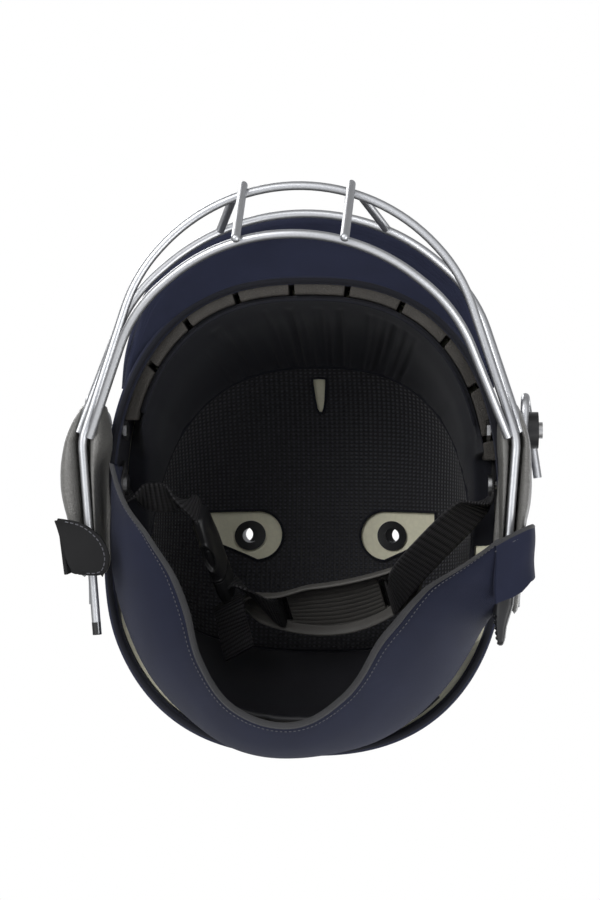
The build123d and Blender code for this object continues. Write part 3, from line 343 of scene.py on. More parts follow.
# %% Dotted mesh finish
mesh_cloth = bpy.data.materials.new("dotted_mesh")
mesh_cloth.use_nodes = True
tree = mesh_cloth.node_tree
split = add_node(tree, "SeparateXYZ", {0: add_node(tree, "TexCoord").outputs["UV"]}).outputs
rows, columns = (scaled(tree, wave(tree, split[axis], pitch), 0.5, 0.5)
                 for axis, pitch in ((0, 3.1), (1, 2.5)))
dent = math_node(tree, "MULTIPLY", rows, columns)
bump = add_node(tree, "Bump", {"Height": dent, "Distance": 0.0006})
fill_in(tree, tree.nodes["Principled BSDF"], {
    "Roughness": 0.7, "Sheen Weight": 0.15, "Normal": bump.outputs["Normal"],
    "Base Color": two_tone(tree, dent, (0.35, (0.003, 0.003, 0.005)),
                           (0.75, (0.028, 0.029, 0.040)))})
print("finishes with the mesh", len(bpy.data.materials))


# %% [markdown]
# Stiff parts keep the construction model's shape, so they only get their finish.

# %% Finish the stiff parts
def dress(node_name, material):
    """Gives a construction node a finish."""
    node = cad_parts[node_name]
    node.data.materials.clear()
    node.data.materials.append(material)


for name in ("grille_lower_bar", "grille_middle_bar", "grille_top_bar", "grille_front_rods",
             "grille_upper_rods", "temple_loop_left", "temple_loop_right"):
    dress(name, bare_wire)
for name in ("vent_eyelet_left", "vent_eyelet_right", "temple_clamp_left", "temple_clamp_right",
             "buckle_socket", "buckle_clip"):
    dress(name, black_plastic)
for name in ("temple_bolts", "temple_nuts", "strap_rivets"):
    dress(name, plated_steel)
dress("foam_liner", bead_foam)
dress("outer_shell", hard_shell)
print("stiff nodes dressed")


# %% [markdown]
# Sewn pieces start as a flat grid, like the cut cloth, and each of its points is then
# moved to its place by a small function. The grid's map is kept and measured along the
# finished surface, so that threads and ribs have their true size.

# %% Work on one piece
def pick(piece):
    """Makes a piece the only one selected, and the active one."""
    bpy.ops.object.select_all(action="DESELECT")
    piece.select_set(True)
    bpy.context.view_layer.objects.active = piece


def modify(piece, kind, **settings):
    """Applies a modifier with these settings to a piece."""
    pick(piece)
    step = piece.modifiers.new("step", kind)
    for key, value in settings.items():
        setattr(step, key, value)
    bpy.ops.object.modifier_apply(modifier=step.name)


def open_up(piece):
    """Opens a piece in edit mode with all of it selected."""
    pick(piece)
    bpy.ops.object.mode_set(mode="EDIT")
    bpy.ops.mesh.select_all(action="SELECT")


def close_up(piece, flip=False, outward=False, fill=False, reach=0.00005):
    """Merges a seam, turns the faces outwards where asked and shades them smooth."""
    open_up(piece)
    bpy.ops.mesh.remove_doubles(threshold=reach)
    if fill:
        bpy.ops.mesh.fill_holes(sides=0)
    if flip:
        bpy.ops.mesh.flip_normals()
    if outward:
        bpy.ops.mesh.normals_make_consistent(inside=False)
    bpy.ops.object.mode_set(mode="OBJECT")
    bpy.ops.object.shade_smooth()


def cut_faces(piece, doomed):
    """Takes out each face whose middle passes the test doomed(middle)."""
    work = bmesh.new()
    work.from_mesh(piece.data)
    faces = [f for f in work.faces if doomed(f.calc_center_median())]
    bmesh.ops.delete(work, geom=faces, context="FACES")
    work.to_mesh(piece.data)
    work.free()


# %% Sheet maker
def path_length(spots):
    """The length of a line of points."""
    return sum((Vector(b) - Vector(a)).length for a, b in zip(spots, spots[1:]))


def lay(name, columns, rows, form, scale_u=None, scale_v=None):
    """Lays a flat grid over a form: form(s, t) gives millimetres for s and t from 0 to 1."""
    bpy.ops.object.select_all(action="DESELECT")
    bpy.ops.mesh.primitive_grid_add(x_subdivisions=columns, y_subdivisions=rows, size=1.0,
                                    calc_uvs=True)
    piece = bpy.context.object
    piece.name = name
    piece.data.name = name
    for vertex in piece.data.vertices:
        vertex.co = place(*form(vertex.co.x + 0.5, vertex.co.y + 0.5))
    shares = [step / 24 for step in range(25)]
    wide = scale_u or path_length([form(share, 0.5) for share in shares])
    tall = scale_v or path_length([form(0.5, share) for share in shares])
    for loop in piece.data.uv_layers[0].data:
        loop.uv = (loop.uv[0] * wide, loop.uv[1] * tall)
    return piece


def thicken(piece, thickness, offset=-1.0, bevel=0.0):
    """Gives a sheet its thickness in millimetres, on the side that offset names."""
    modify(piece, "SOLIDIFY", thickness=thickness / 1000, offset=offset)
    if bevel:
        modify(piece, "BEVEL", width=bevel / 1000, segments=2, limit_method="ANGLE")
    bpy.ops.object.shade_smooth()


def join_pieces(pieces, name):
    """Joins pieces into the first of them."""
    pick(pieces[0])
    for piece in pieces:
        piece.select_set(True)
    bpy.ops.object.join()
    pieces[0].name = name
    return pieces[0]


def settle(piece, body, material, *nodes_replaced):
    """Finishes a piece: its material, the body it moves with, and the construction nodes it stands
    for, which it hides.

    A cloth that bends across a joint is given a tuple of both bodies and where its bend starts and
    ends; these are not used, and the piece is only baked in place.
    """
    piece.data.materials.clear()
    piece.data.materials.append(material)
    if isinstance(body, tuple):
        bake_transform(piece)
    else:
        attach(piece, body)
    if nodes_replaced:
        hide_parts(*nodes_replaced)
    print(piece.name, len(piece.data.polygons), "faces")


def sew(piece, thickness, body, material, *nodes_replaced, offset=0.0, bevel=0.0):
    """Thickens a laid sheet, merges its seams and settles it."""
    thicken(piece, thickness, offset, bevel)
    close_up(piece)
    settle(piece, body, material, *nodes_replaced)


# %% [markdown]
# Seams, piping and caps are thin rolls that follow a line of points: a curve with a round
# bevel, turned into a mesh.

# %% Tape rolls
def tube(name, strands, radius, rings, closed=False):
    """A mesh tube along each strand of scene points, with its radius in millimetres."""
    curve = bpy.data.curves.new(name, "CURVE")
    curve.dimensions = "3D"
    curve.bevel_depth = radius / 1000
    curve.bevel_resolution = rings
    curve.use_fill_caps = True
    for strand in strands:
        spline = curve.splines.new("POLY")
        spline.points.add(len(strand) - 1)
        for point, spot in zip(spline.points, strand):
            point.co = (*spot, 1)
        spline.use_cyclic_u = closed
    piece = bpy.data.objects.new(name, curve)
    bpy.context.scene.collection.objects.link(piece)
    pick(piece)
    bpy.ops.object.convert(target="MESH")
    piece = bpy.context.object
    piece.name = name
    return piece


def tape_roll(name, points, radius, closed, material, body):
    """A thin roll of tape along a line of points in millimetres."""
    roll = tube(name, [[place(*spot) for spot in points]], radius, 3, closed)
    bpy.ops.object.shade_smooth()
    settle(roll, body, material)


# %% [markdown]
# The whole head form is one egg: its plan is a superellipse, and it draws in towards the
# crown along another. Every layer is the same egg a little smaller, so one function
# places shell cloth, lining and mesh.

# %% The egg
half_width, half_length, crown = 108.5, 128.5, 148.0
plan_power, rise_power = 2.5, 2.3


def egg(turn, height, inset):
    """A point on a layer: turn in degrees from the wearer's left towards the face."""
    c, s = cos(radians(turn)), -sin(radians(turn))
    size = (abs(c) ** plan_power + abs(s) ** plan_power) ** (1 / plan_power)
    share = min(1.0, max(0.0, height) / (crown - inset))
    scale = (1 - share ** rise_power) ** (1 / rise_power)
    return ((half_width - inset) * scale * c / size, (half_length - inset) * scale * s / size,
            height)


def plan_share(x, y, inset):
    """Below 1 for a plan point inside a layer's wall, 1 on it and above 1 outside."""
    return (abs(x / (half_width - inset)) ** plan_power
            + abs(y / (half_length - inset)) ** plan_power)


def egg_height(x, y, inset):
    """Height of a layer over a point of its plan."""
    share = plan_share(x, y, inset) ** (1 / plan_power)
    return (crown - inset) * (1 - min(1.0, share) ** rise_power) ** (1 / rise_power)


def line(table, value):
    """Straight interpolation in a table of pairs."""
    if value <= table[0][0]:
        return table[0][1]
    for (a, b), (c, d) in zip(table, table[1:]):
        if value <= c:
            return b + (d - b) * (value - a) / (c - a)
    return table[-1][1]


def bell(away):
    """1 in the middle of a groove or fold, falling to 0 on both sides of it."""
    return 2.718 ** (-away * away)


def rounded(share, power):
    """A point on a rounded square of half size 1, by share of the way round it."""
    c, d = cos(2 * pi * share), sin(2 * pi * share)
    size = (abs(c) ** power + abs(d) ** power) ** (1 / power)
    return c / size, d / size


# %% [markdown]
# The solid layers were lofted between a few sections, so they stray from the pure egg
# by a millimetre or two. A soft layer that has to lie on one of them is therefore
# measured against it: a ray from a point inside the helmet finds the solid's surface,
# and the cloth is set a stated gap away from it.

# %% Measure against a solid
def solid_tree(node_name):
    """A search tree of a construction node's faces, in scene metres."""
    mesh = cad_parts[node_name].data
    return BVHTree.FromPolygons([v.co.copy() for v in mesh.vertices],
                                [tuple(f.vertices) for f in mesh.polygons])


heart = place(0, 0, 24)
foam_tree = solid_tree("foam_liner")
cover_tree = solid_tree("cloth_cover")


def inside_foam(spot, gap, only_clear=False):
    """Sets a point a gap, in metres, inside the foam; only_clear just keeps it clear."""
    way = (spot - heart).normalized()
    hit, _, _, reach = foam_tree.ray_cast(heart, way, 0.2)
    if hit is None:
        return spot
    if only_clear and (spot - heart).length < reach - gap:
        return spot
    return heart + way * (reach - gap)


def on_cover(spot, dip):
    """Sets a point on the outside of the shell's cloth, dip metres below it."""
    way = (spot - heart).normalized()
    start = heart + way * 0.25
    hit, _, _, reach = cover_tree.ray_cast(start, -way, 0.2)
    return spot if hit is None else hit - way * dip


# %% Rim line
rim_table = [(-140, -0.4), (-116.5, -0.4), (-40, -12), (20, -18), (62, -34), (140, -34)]


def smooth_rim(y):
    """The rim's height, with its corners eased."""
    return sum(line(rim_table, y + d) for d in (-9, -4.5, 0, 4.5, 9)) / 5


# %% [markdown]
# The shell's cloth is cut in panels that meet under the crown button. Along each seam
# the cloth is drawn in by half a millimetre, and at the rim it turns under the edge and
# a little way up inside.

# %% Shell cloth
vent_x, vent_y = 43.7, 19.5
hem_inset, hem_height = 3.35, 6.0
hem_end, edge_end = 0.05, 0.1
seam_width = 0.9


def seam_gap(turn):
    """Degrees from a turn to the nearest of the six seams."""
    return min(abs((turn - seam + 180) % 360 - 180) for seam in range(0, 360, 60))


def cover_form(s, t):
    """The shell's cloth: a hem inside the rim, the rim's edge, then up to the crown."""
    turn = 360 * s
    rim = smooth_rim(egg(turn, 0, 0)[1])
    if t < hem_end:
        height = rim + hem_height * (1 - t / hem_end)
        spot = egg(turn, height, hem_inset)
        return (spot[0], spot[1], height)
    if t < edge_end:
        share = (t - hem_end) / (edge_end - hem_end)
        spot = egg(turn, 0, hem_inset * (1 - share))
        return (spot[0], spot[1], rim - 0.84 * sin(pi * share))
    share = (t - edge_end) / (1 - edge_end)
    level = crown * sin(radians(90 * share)) ** (2 / rise_power)
    height = rim + (level - rim) * share * 3 if share < 1 / 3 else level
    dip = 0.5 * bell(seam_gap(turn) / seam_width) * min(1.0, share * 8)
    spot = egg(turn, height, dip - 0.15)
    return (spot[0], spot[1], height if share < 0.999 else crown)


cover = lay("shell_cloth", 288, 96, cover_form, scale_u=700, scale_v=260)
fitted_above = place(0, 0, 4).z
for vertex in cover.data.vertices:
    spot = vertex.co
    if spot.z > fitted_above:
        turn = degrees(atan2(-(spot.y * 1000 - shell_y) / half_length, spot.x * 1000 / half_width))
        fitted = on_cover(spot, 0.0006 * bell(seam_gap(turn) / seam_width) - 0.0001)
        vertex.co = spot.lerp(fitted, min(1.0, (spot.z - fitted_above) / 0.01))
vents = [place(side * vent_x, vent_y, 0).xy for side in (-1, 1)]
cut_faces(cover, lambda spot: spot.z > 0.2
          and any((spot.xy - vent).length < 0.0058 for vent in vents))
close_up(cover)
thicken(cover, 0.7, offset=-1.0)
settle(cover, "helmet", navy_cloth, "cloth_cover")

# %% [markdown]
# A dark piping is sewn along the whole rim, where the shell's cloth turns under its edge.

# %% Rim piping
piping = [egg(360 * step / 240, 0, 2.0) for step in range(240)]
tape_roll("rim_piping", [(x, y, smooth_rim(y) - 0.5) for x, y, _ in piping], 1.75, True,
          lining_cloth, "helmet")

# %% [markdown]
# The crown button is a cloth-covered disc: a short cylinder, bevelled until its top is a
# low dome.

# %% Crown button
button_depth = 4.5
bpy.ops.object.select_all(action="DESELECT")
bpy.ops.mesh.primitive_cylinder_add(vertices=64, radius=0.011, depth=button_depth / 1000,
                                    location=place(0, 0, crown + 0.1 + button_depth / 2))
button = bpy.context.object
button.name = "crown_button_cloth"
bpy.ops.object.transform_apply(location=True)
modify(button, "BEVEL", width=0.0036, segments=6, limit_method="ANGLE")
bpy.ops.object.shade_smooth()
settle(button, "helmet", navy_cloth, "crown_button")


# %% [markdown]
# The peak is a stiff board in the same cloth. It is drawn as strips that run from the
# forehead to the edge, and rows of stitching follow the edge as shallow grooves.

# %% Peak
peak_side = [(20, -157), (40, -151.5), (60, -142.5), (75, -131), (84, -121), (90.5, -108),
             (97, -86), (99.5, -67)]
peak_edge = [(-x, y) for x, y in reversed(peak_side)] + [(0, -158.8)] + peak_side


def along(points, share):
    """A smooth point on a line of points, by share of its length."""
    place_on = share * (len(points) - 1)
    index = min(int(place_on), len(points) - 2)
    t = place_on - index
    p0 = points[max(index - 1, 0)]
    p1, p2 = points[index], points[index + 1]
    p3 = points[min(index + 2, len(points) - 1)]
    return tuple(0.5 * (2 * b + (c - a) * t + (2 * a - 5 * b + 4 * c - d) * t * t
                        + (3 * b - a - 3 * c + d) * t ** 3)
                 for a, b, c, d in zip(p0, p1, p2, p3))


def peak_form(s, t):
    """The peak's board from the forehead out, with three rows of stitching."""
    edge_x, edge_y = along(peak_edge, s)
    root = egg(degrees(atan2(-edge_y, edge_x)), 2, 0.2)
    x = root[0] + (edge_x - root[0]) * t
    y = root[1] + (edge_y - root[1]) * t
    z = 3.1 + (y + half_length) * 0.2126 - x * x / 760
    groove = 0.28 * sum(bell((t - row) / 0.008) for row in (0.78, 0.88, 0.95))
    roll = 1.6 * max(0.0, (t - 0.975) / 0.025) ** 2
    return (x, y, z + groove + roll)


peak = lay("peak_cloth", 160, 96, peak_form, scale_u=300, scale_v=60)
sew(peak, 3.7, "helmet", navy_cloth, "peak", offset=1.0, bevel=0.9)
print("peak", [round(v, 4) for v in peak.dimensions])


# %% [markdown]
# Foam and padded cloth keep the shape of their solid, but no edge of them is sharp. A
# copy of the solid is rebuilt in small even faces and relaxed, which rounds its edges as
# soft foam does.

# %% Copy a solid
def copy_node(node_name, name):
    """A merged copy of a construction node's mesh."""
    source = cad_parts[node_name]
    mesh = source.data.copy()
    mesh.transform(source.matrix_world)
    piece = bpy.data.objects.new(name, mesh)
    bpy.context.scene.collection.objects.link(piece)
    close_up(piece)
    return piece


# %% Soften a copy
def soften(node_name, name, voxel, rounds):
    """Copies a node's mesh, rebuilds it in even faces and relaxes it."""
    piece = copy_node(node_name, name)
    modify(piece, "REMESH", mode="VOXEL", voxel_size=voxel / 1000)
    modify(piece, "SMOOTH", factor=0.5, iterations=rounds)
    bpy.ops.object.shade_smooth()
    return piece


# %% Brow foam with its slits, and nape cushion
slit_inset, first_slit, slit_step = 9.1, 21.8, 14.4
band = soften("brow_band", "brow_foam_band", 0.85, 2)
bpy.ops.object.select_all(action="DESELECT")
cutters = []
for count in range(9):
    angle = radians(first_slit + slit_step * count)
    radius = plan_share(cos(angle), sin(angle), slit_inset) ** (-1 / plan_power)
    bpy.ops.mesh.primitive_cube_add(size=1.0, rotation=(0, 0, -angle),
                                    location=place(radius * cos(angle), -radius * sin(angle), 0),
                                    scale=(0.0105, 0.0034, 0.09))
    cutters.append(bpy.context.object)
cutter = join_pieces(cutters, "slit_cutter")
modify(band, "BOOLEAN", operation="DIFFERENCE", solver="EXACT", object=cutter)
bpy.data.objects.remove(cutter)
settle(band, "helmet", brow_foam, "brow_band")
nape = soften("nape_pad", "nape_cushion", 1.6, 8)
settle(nape, "helmet", hard_shell, "nape_pad")


# %% [markdown]
# Between brow foam and mesh the lining is a soft ring of gathered cloth over padding.
# The seam along the mesh draws the cloth in, so narrow valleys start there and fade
# towards the brow. At the sides the same cloth turns under the foam's lower edge.

# %% Lining lines
def mesh_line(y):
    """Height of the seam between ring and mesh over a place along the helmet."""
    return 92 - 0.685 * (y + 75)


def seam_on_egg(turn, inset):
    """Height at which the seam crosses a layer of the egg."""
    height = 60.0
    for _ in range(40):
        spot = egg(turn, height, inset)
        height = 0.6 * height + 0.4 * min(crown - 22, max(0.0, mesh_line(spot[1])))
    return height


def ease(value):
    """A smooth step from 0 to 1."""
    value = min(1.0, max(0.0, value))
    return value * value * (3 - 2 * value)


folds = [(random.uniform(48, 132), random.uniform(0.5, 1.3), random.uniform(0.7, 1.5),
          random.uniform(0.35, 0.95)) for _ in range(30)]
folds += [(random.uniform(0, 180), random.uniform(1.0, 2.4), random.uniform(0.4, 0.9),
           random.uniform(0.3, 0.8)) for _ in range(16)]


# %% Gathered ring
def ring_form(s, t):
    """The padded ring, from the foam's lower edge up to the seam of the mesh."""
    turn = -66 + 312 * s
    base_x, base_y, _ = egg(turn, 3, 10)
    front = ease((-26 - base_y) / 24)
    banded = ease(((-52 if base_x < 0 else -29) - base_y) / 3)
    low = 26.6 + (3.2 - 26.6) * front
    top = max(seam_on_egg(turn, 14.6), 27.6 + 1.5) + 1.2
    tall = top - low
    plump = min(1.0, tall / 40)
    start = 3.5 + (9.9 - 3.5) * banded
    start_z = 26.8 + (3.4 - 26.8) * banded
    profile = [(start, start_z), ((start + 14.4) / 2, (start_z + low) / 2 - 0.3),
               (14.4 - 1.8 * front, low - 0.2 + 2.2 * front),
               (15.6 + 1.9 * plump, low + 0.3 * tall), (15.6 + 2.6 * plump, low + 0.62 * tall),
               (15.5 + 1.5 * plump, low + 0.88 * tall), (15.3, top)]
    inset, height = along(profile, t)
    drawn = 0.0
    for spot_turn, width, depth, fade in folds:
        lean = 0.9 * (1 - t) * (spot_turn - 90) * 0.04
        away = (turn + lean - spot_turn) / (width * (1.4 - 0.6 * t))
        if abs(away) < 3:
            drawn += depth * bell(away) * ease((t - (1 - fade)) / 0.3)
    inset = max(inset - min(drawn, 2.2) * (1 - 0.5 * ease((t - 0.85) / 0.15)), min(inset, 15.0))
    spot = egg(turn, height, inset)
    return (spot[0], spot[1], height)


ring = lay("gathered_ring", 460, 56, ring_form)
for vertex in ring.data.vertices:
    vertex.co = inside_foam(vertex.co, 0.0017, only_clear=True)
sew(ring, 0.9, "helmet", lining_cloth, "comfort_ring", offset=-1.0)

# %% [markdown]
# The knitted mesh spans the crown. It is laid as a fine egg-shaped sheet, trimmed at the
# seam and at the nape by two bisecting cuts, and its two eye-shaped windows and the slot
# are cut out. The cut edge is then moved onto the true outline and bound with a thin
# roll of tape.

# %% Crown knit
knit_inset, knit_gap = 14.6, 0.0014


def knit_form(s, t):
    """The whole knit before it is trimmed, from the lining up to the crown."""
    top = crown - knit_inset
    height = max(27.4, top * sin(pi / 2 * (0.16 + 0.84 * t)) ** (2 / rise_power))
    spot = egg(360 * s, height if t < 0.999 else crown, knit_inset)
    return (spot[0], spot[1], min(height, top))


knit = lay("crown_knit", 320, 130, knit_form)
for vertex in knit.data.vertices:
    vertex.co = inside_foam(vertex.co, knit_gap)
close_up(knit)


def window_outline(side):
    """Plan of one eye-shaped window, in millimetres."""
    outline = [(71 - 3.14 * k, 4) for k in range(10)]
    outline += [(39.6 - 15.6 * sin(radians(a)), 19.5 - 15.6 * cos(radians(a)))
                for a in range(0, 181, 6)]
    outline += [(39.6 + 3.14 * k, 35.1 - 1.51 * k) for k in range(1, 10)] + [(71, 20), (71, 12)]
    return [Vector((side * x, y)) for x, y in outline]


slot_side = [(4.2, -77.2), (4.3, -74), (4.0, -70), (3.4, -64), (2.5, -59), (1.2, -56.4)]
slot_outline = [Vector(spot) for spot in [(-4.2, -77.2), (0, -77.6)] + slot_side
                + [(-x, y) for x, y in slot_side[:0:-1]]]


def inside(point, outline):
    """Whether a plan point lies within an outline."""
    within = False
    for a, b in zip(outline, outline[1:] + outline[:1]):
        if (a.y > point.y) != (b.y > point.y):
            if point.x < (b.x - a.x) * (point.y - a.y) / (b.y - a.y) + a.x:
                within = not within
    return within


def nearest(point, outline):
    """The closest place on an outline to a plan point."""
    best, best_gap = None, 1e9
    for a, b in zip(outline, outline[1:] + outline[:1]):
        way = b - a
        share = min(1.0, max(0.0, (point - a).dot(way) / max(way.length_squared, 1e-9)))
        spot = a + way * share
        if (spot - point).length < best_gap:
            best, best_gap = spot, (spot - point).length
    return best


def on_knit(point, gap):
    """A plan point in millimetres to the scene, a gap in metres inside the foam."""
    return inside_foam(place(point.x, point.y, egg_height(point.x, point.y, knit_inset)), gap)


# %% Trim and cut the knit
open_up(knit)
for spot, way in (((0, -75, 91.2), (0, -0.565, -0.825)), ((0, 92.5, 100), (0, 0.906, -0.423))):
    bpy.ops.mesh.select_all(action="SELECT")
    bpy.ops.mesh.bisect(plane_co=place(*spot), plane_no=way, clear_outer=True)
bpy.ops.object.mode_set(mode="OBJECT")
outlines = [window_outline(-1), window_outline(1), slot_outline]
work = bmesh.new()
work.from_mesh(knit.data)
for outline in outlines:
    middles = [(f, f.calc_center_median()) for f in work.faces]
    doomed = [f for f, spot in middles if spot.z > 0.19 and inside(in_mm(spot).xy, outline)]
    rim_before = {v for v in work.verts if v.is_boundary}
    bmesh.ops.delete(work, geom=doomed, context="FACES")
    for v in work.verts:
        if v.is_boundary and v not in rim_before:
            v.co = on_knit(nearest(in_mm(v.co).xy, outline), knit_gap)
work.to_mesh(knit.data)
work.free()
for loop in knit.data.loops:
    x, y, z = in_mm(knit.data.vertices[loop.vertex_index].co)
    reach = max(sqrt(x * x + y * y), 0.01)
    stretch = atan2(reach, max(z, 1.0) * 0.75) * 105 / reach
    knit.data.uv_layers[0].data[loop.index].uv = (x * stretch, y * stretch)
thicken(knit, 0.9, offset=-1.0)
settle(knit, "helmet", mesh_cloth, "crown_mesh")


# %% Bind the cut edges
def clear_of_foam(x, y, z, gap=0.0024):
    """The same place in millimetres, moved to lie just inside the foam."""
    return tuple(in_mm(inside_foam(place(x, y, z), gap)))


for outline, label in zip(outlines, ("right", "left", "slot")):
    tape_roll("window_edge_" + label, [in_mm(on_knit(p, 0.002)) for p in outline], 0.85, True,
              lining_cloth, "helmet")
seam_points = []
for step in range(161):
    turn = -22 + 224 * step / 160
    height = max(28.5, seam_on_egg(turn, 14.6) - 0.2)
    x, y, _ = egg(turn, height, 16.0)
    seam_points.append(clear_of_foam(x, y, height))
tape_roll("mesh_seam", seam_points, 0.9, False, lining_cloth, "helmet")


def nape_spot(x, inset=16):
    """Where the egg's layer crosses the plane of the nape seam, found by halving."""
    low, high, y = 20.0, 128.0, 0.0
    for _ in range(40):
        level = (low + high) / 2
        scale = (1 - (level / (crown - inset)) ** rise_power) ** (1 / rise_power)
        share = abs(x) / ((half_width - inset) * scale)
        if share < 1:
            y = (half_length - inset) * scale * (1 - share ** plan_power) ** (1 / plan_power)
        if share < 1 and 0.906 * (y - 91) - 0.423 * (level - 100) >= 0:
            low = level
        else:
            high = level
    return clear_of_foam(x, y, level, 0.003)


nape_points = [nape_spot(-88 + 176 * step / 100) for step in range(101)]
nape_points = [p for p in nape_points if p[2] > 27]
tape_roll("nape_seam", nape_points, 1.1, False, lining_cloth, "helmet")
print("lining done", len(nape_points))


# %% [markdown]
# The neck guard is a flap of padded cloth. The construction model gives its ribs, and
# the cloth is laid through them with soft hollows and folds. Its lower edge is bound
# with grey tape.

# %% Neck guard ribs
guard_centre = 18.7


def wall_reach(inset, angle):
    """How far a layer's wall lies from the guard's centre at an angle, found by halving."""
    near, beyond = 0.0, 260.0
    for _ in range(40):
        middle = (near + beyond) / 2
        x = middle * cos(radians(angle))
        y = guard_centre + middle * sin(radians(angle))
        if plan_share(x, y, inset) < 1:
            near = middle
        else:
            beyond = middle
    return near


def tucked(angle, bulge, bottom, inset=1.65):
    """A rib that starts inside the rim: each point is a radius and a height."""
    reach = wall_reach(3.2, angle) - inset
    return (angle, (reach, -29.8), (reach - 0.15, -35.65), (bulge[0] + 8, bulge[1]), bottom)


def hung(angle, top, bulge, bottom):
    """A rib that hangs free of the rim, towards the tabs."""
    return (angle, top, ((2 * top[0] + bulge[0]) / 3, (2 * top[1] + bulge[1]) / 3), bulge, bottom)


guard_ribs = [
    hung(205, (103.5, -53), (104.5, -59), (106, -66)),
    hung(196, (101, -47), (99, -61), (91, -77)),
    hung(186, (100, -42), (95, -66), (73, -90)),
    hung(170, (99.5, -37), (96, -68), (60, -99)),
    tucked(150, (98, -58), (58.5, -104.6), inset=6.2),
    tucked(130, (101.5, -52), (69, -104.4), inset=5.6),
    tucked(110, (109, -48), (82, -97)),
    tucked(90, (110, -46), (85.5, -91)),
    tucked(70, (107, -48), (75, -97), inset=3.0),
    tucked(47, (98.5, -54), (61.8, -104.4), inset=7.0),
    tucked(29, (99, -60), (61.8, -104.2), inset=5.4),
    hung(17, (104.5, -62), (99, -77), (66.5, -103)),
    hung(10, (110, -75.4), (101, -80), (73.2, -100)),
    hung(2, (112, -77.4), (104, -79), (88.6, -92)),
    hung(-4, (112, -77.4), (108, -78.6), (103.5, -84.5)),
]
rib_rows = [(angle, *[v for point in points for v in point]) for angle, *points in guard_ribs]


def guard_spot(s, t, outward):
    """A point on the flap: s from the right end to the left, t from the top down."""
    row = along(rib_rows, s)
    angle = radians(row[0])
    points = [(row[1 + 2 * i], row[2 + 2 * i]) for i in range(4)]
    weights = ((1 - t) ** 3, 3 * (1 - t) ** 2 * t, 3 * (1 - t) * t * t, t ** 3)
    radius = sum(w * p[0] for w, p in zip(weights, points))
    height = sum(w * p[1] for w, p in zip(weights, points))
    slope = [(3 * ((1 - t) ** 2 * (points[1][k] - points[0][k]) + 2 * (1 - t) * t
                   * (points[2][k] - points[1][k]) + t * t * (points[3][k] - points[2][k])))
             for k in (0, 1)]
    size = sqrt(slope[0] ** 2 + slope[1] ** 2) or 1.0
    radius += outward * -slope[1] / size
    height += outward * slope[0] / size
    return (radius * cos(angle), guard_centre + radius * sin(angle), height)


def guard_form(s, t):
    """The padded flap: out over the outside, round the edge and back up the inside."""
    face = 1 if t < 0.5 else -1
    down = min(1.0, t * 2) if t < 0.5 else min(1.0, (1 - t) * 2)
    puff = (1.55 + 0.5 * sin(pi * down) ** 0.7) * (1 - 0.55 * ease((down - 0.8) / 0.2))
    wave = (0.7 * sin(9 * s + 5 * down) + 0.55 * sin(23 * s - 4 * down + 1)
            + 0.35 * sin(41 * s + 2 * down))
    thick = face * puff
    if down > 0.93:
        thick *= max(0.0, 1 - ((down - 0.93) / 0.07) ** 2) ** 0.5
    return guard_spot(s, min(down, 0.995), thick + wave * sin(pi * down))


guard = lay("neck_guard_cloth", 300, 96, guard_form, scale_u=420, scale_v=150)
close_up(guard, flip=True)
settle(guard, "helmet", navy_cloth, "neck_guard")


def binding_form(s, t):
    """A tape folded over the flap's edge, as an open U of cloth."""
    if 0.35 <= t <= 0.65:
        share = (t - 0.35) / 0.3
        tip = Vector(guard_spot(s, 1.0, cos(pi * share)))
        step = (tip - Vector(guard_spot(s, 0.97, cos(pi * share)))).normalized()
        return tuple(tip + step * 0.5 * sin(pi * share))
    down = 0.991 + 0.009 * min(t, 1 - t) / 0.35
    return guard_spot(s, down, 1.0 if t < 0.35 else -1.0)


binding = lay("guard_edge_tape", 420, 24, binding_form, scale_u=420, scale_v=14)
sew(binding, 0.45, "helmet", tape_cloth, "guard_binding", offset=1.0)
strip = copy_node("guard_fixing_strip", "guard_hook_strip")
if not strip.data.uv_layers:
    strip.data.uv_layers.new(name="cut")
settle(strip, "helmet", hook_tape, "guard_fixing_strip")


# %% [markdown]
# Ear pads are leathery lobes on both sides of the guard's wire. Each lobe is a closed
# cushion, drawn as rings round its length that shrink to a rounded end.

# %% Cushion maker
def wire_line(y):
    """How far out the guard's side wire runs at a place along the helmet."""
    if y < -38.4:
        return 112.8 + (y + 38.4) * (112.8 - 84.5) / (-38.4 + 124.4)
    return 112.8 - 0.0804 * (y + 38.4)


def cushion(name, centre, half_across, half_tall, power=3.2):
    """A closed cushion; centre(t) and the half sizes are functions of its length."""
    def form(s, t):
        c, d = rounded(s, power)
        end = (1 - abs(2 * t - 1) ** 3.4) ** (1 / 2.1)
        x, y, z = centre(t)
        return (x + half_across(t) * end * c, y, z + half_tall(t) * end * d)
    piece = lay(name, 40, 56, form)
    close_up(piece, outward=True)
    return piece


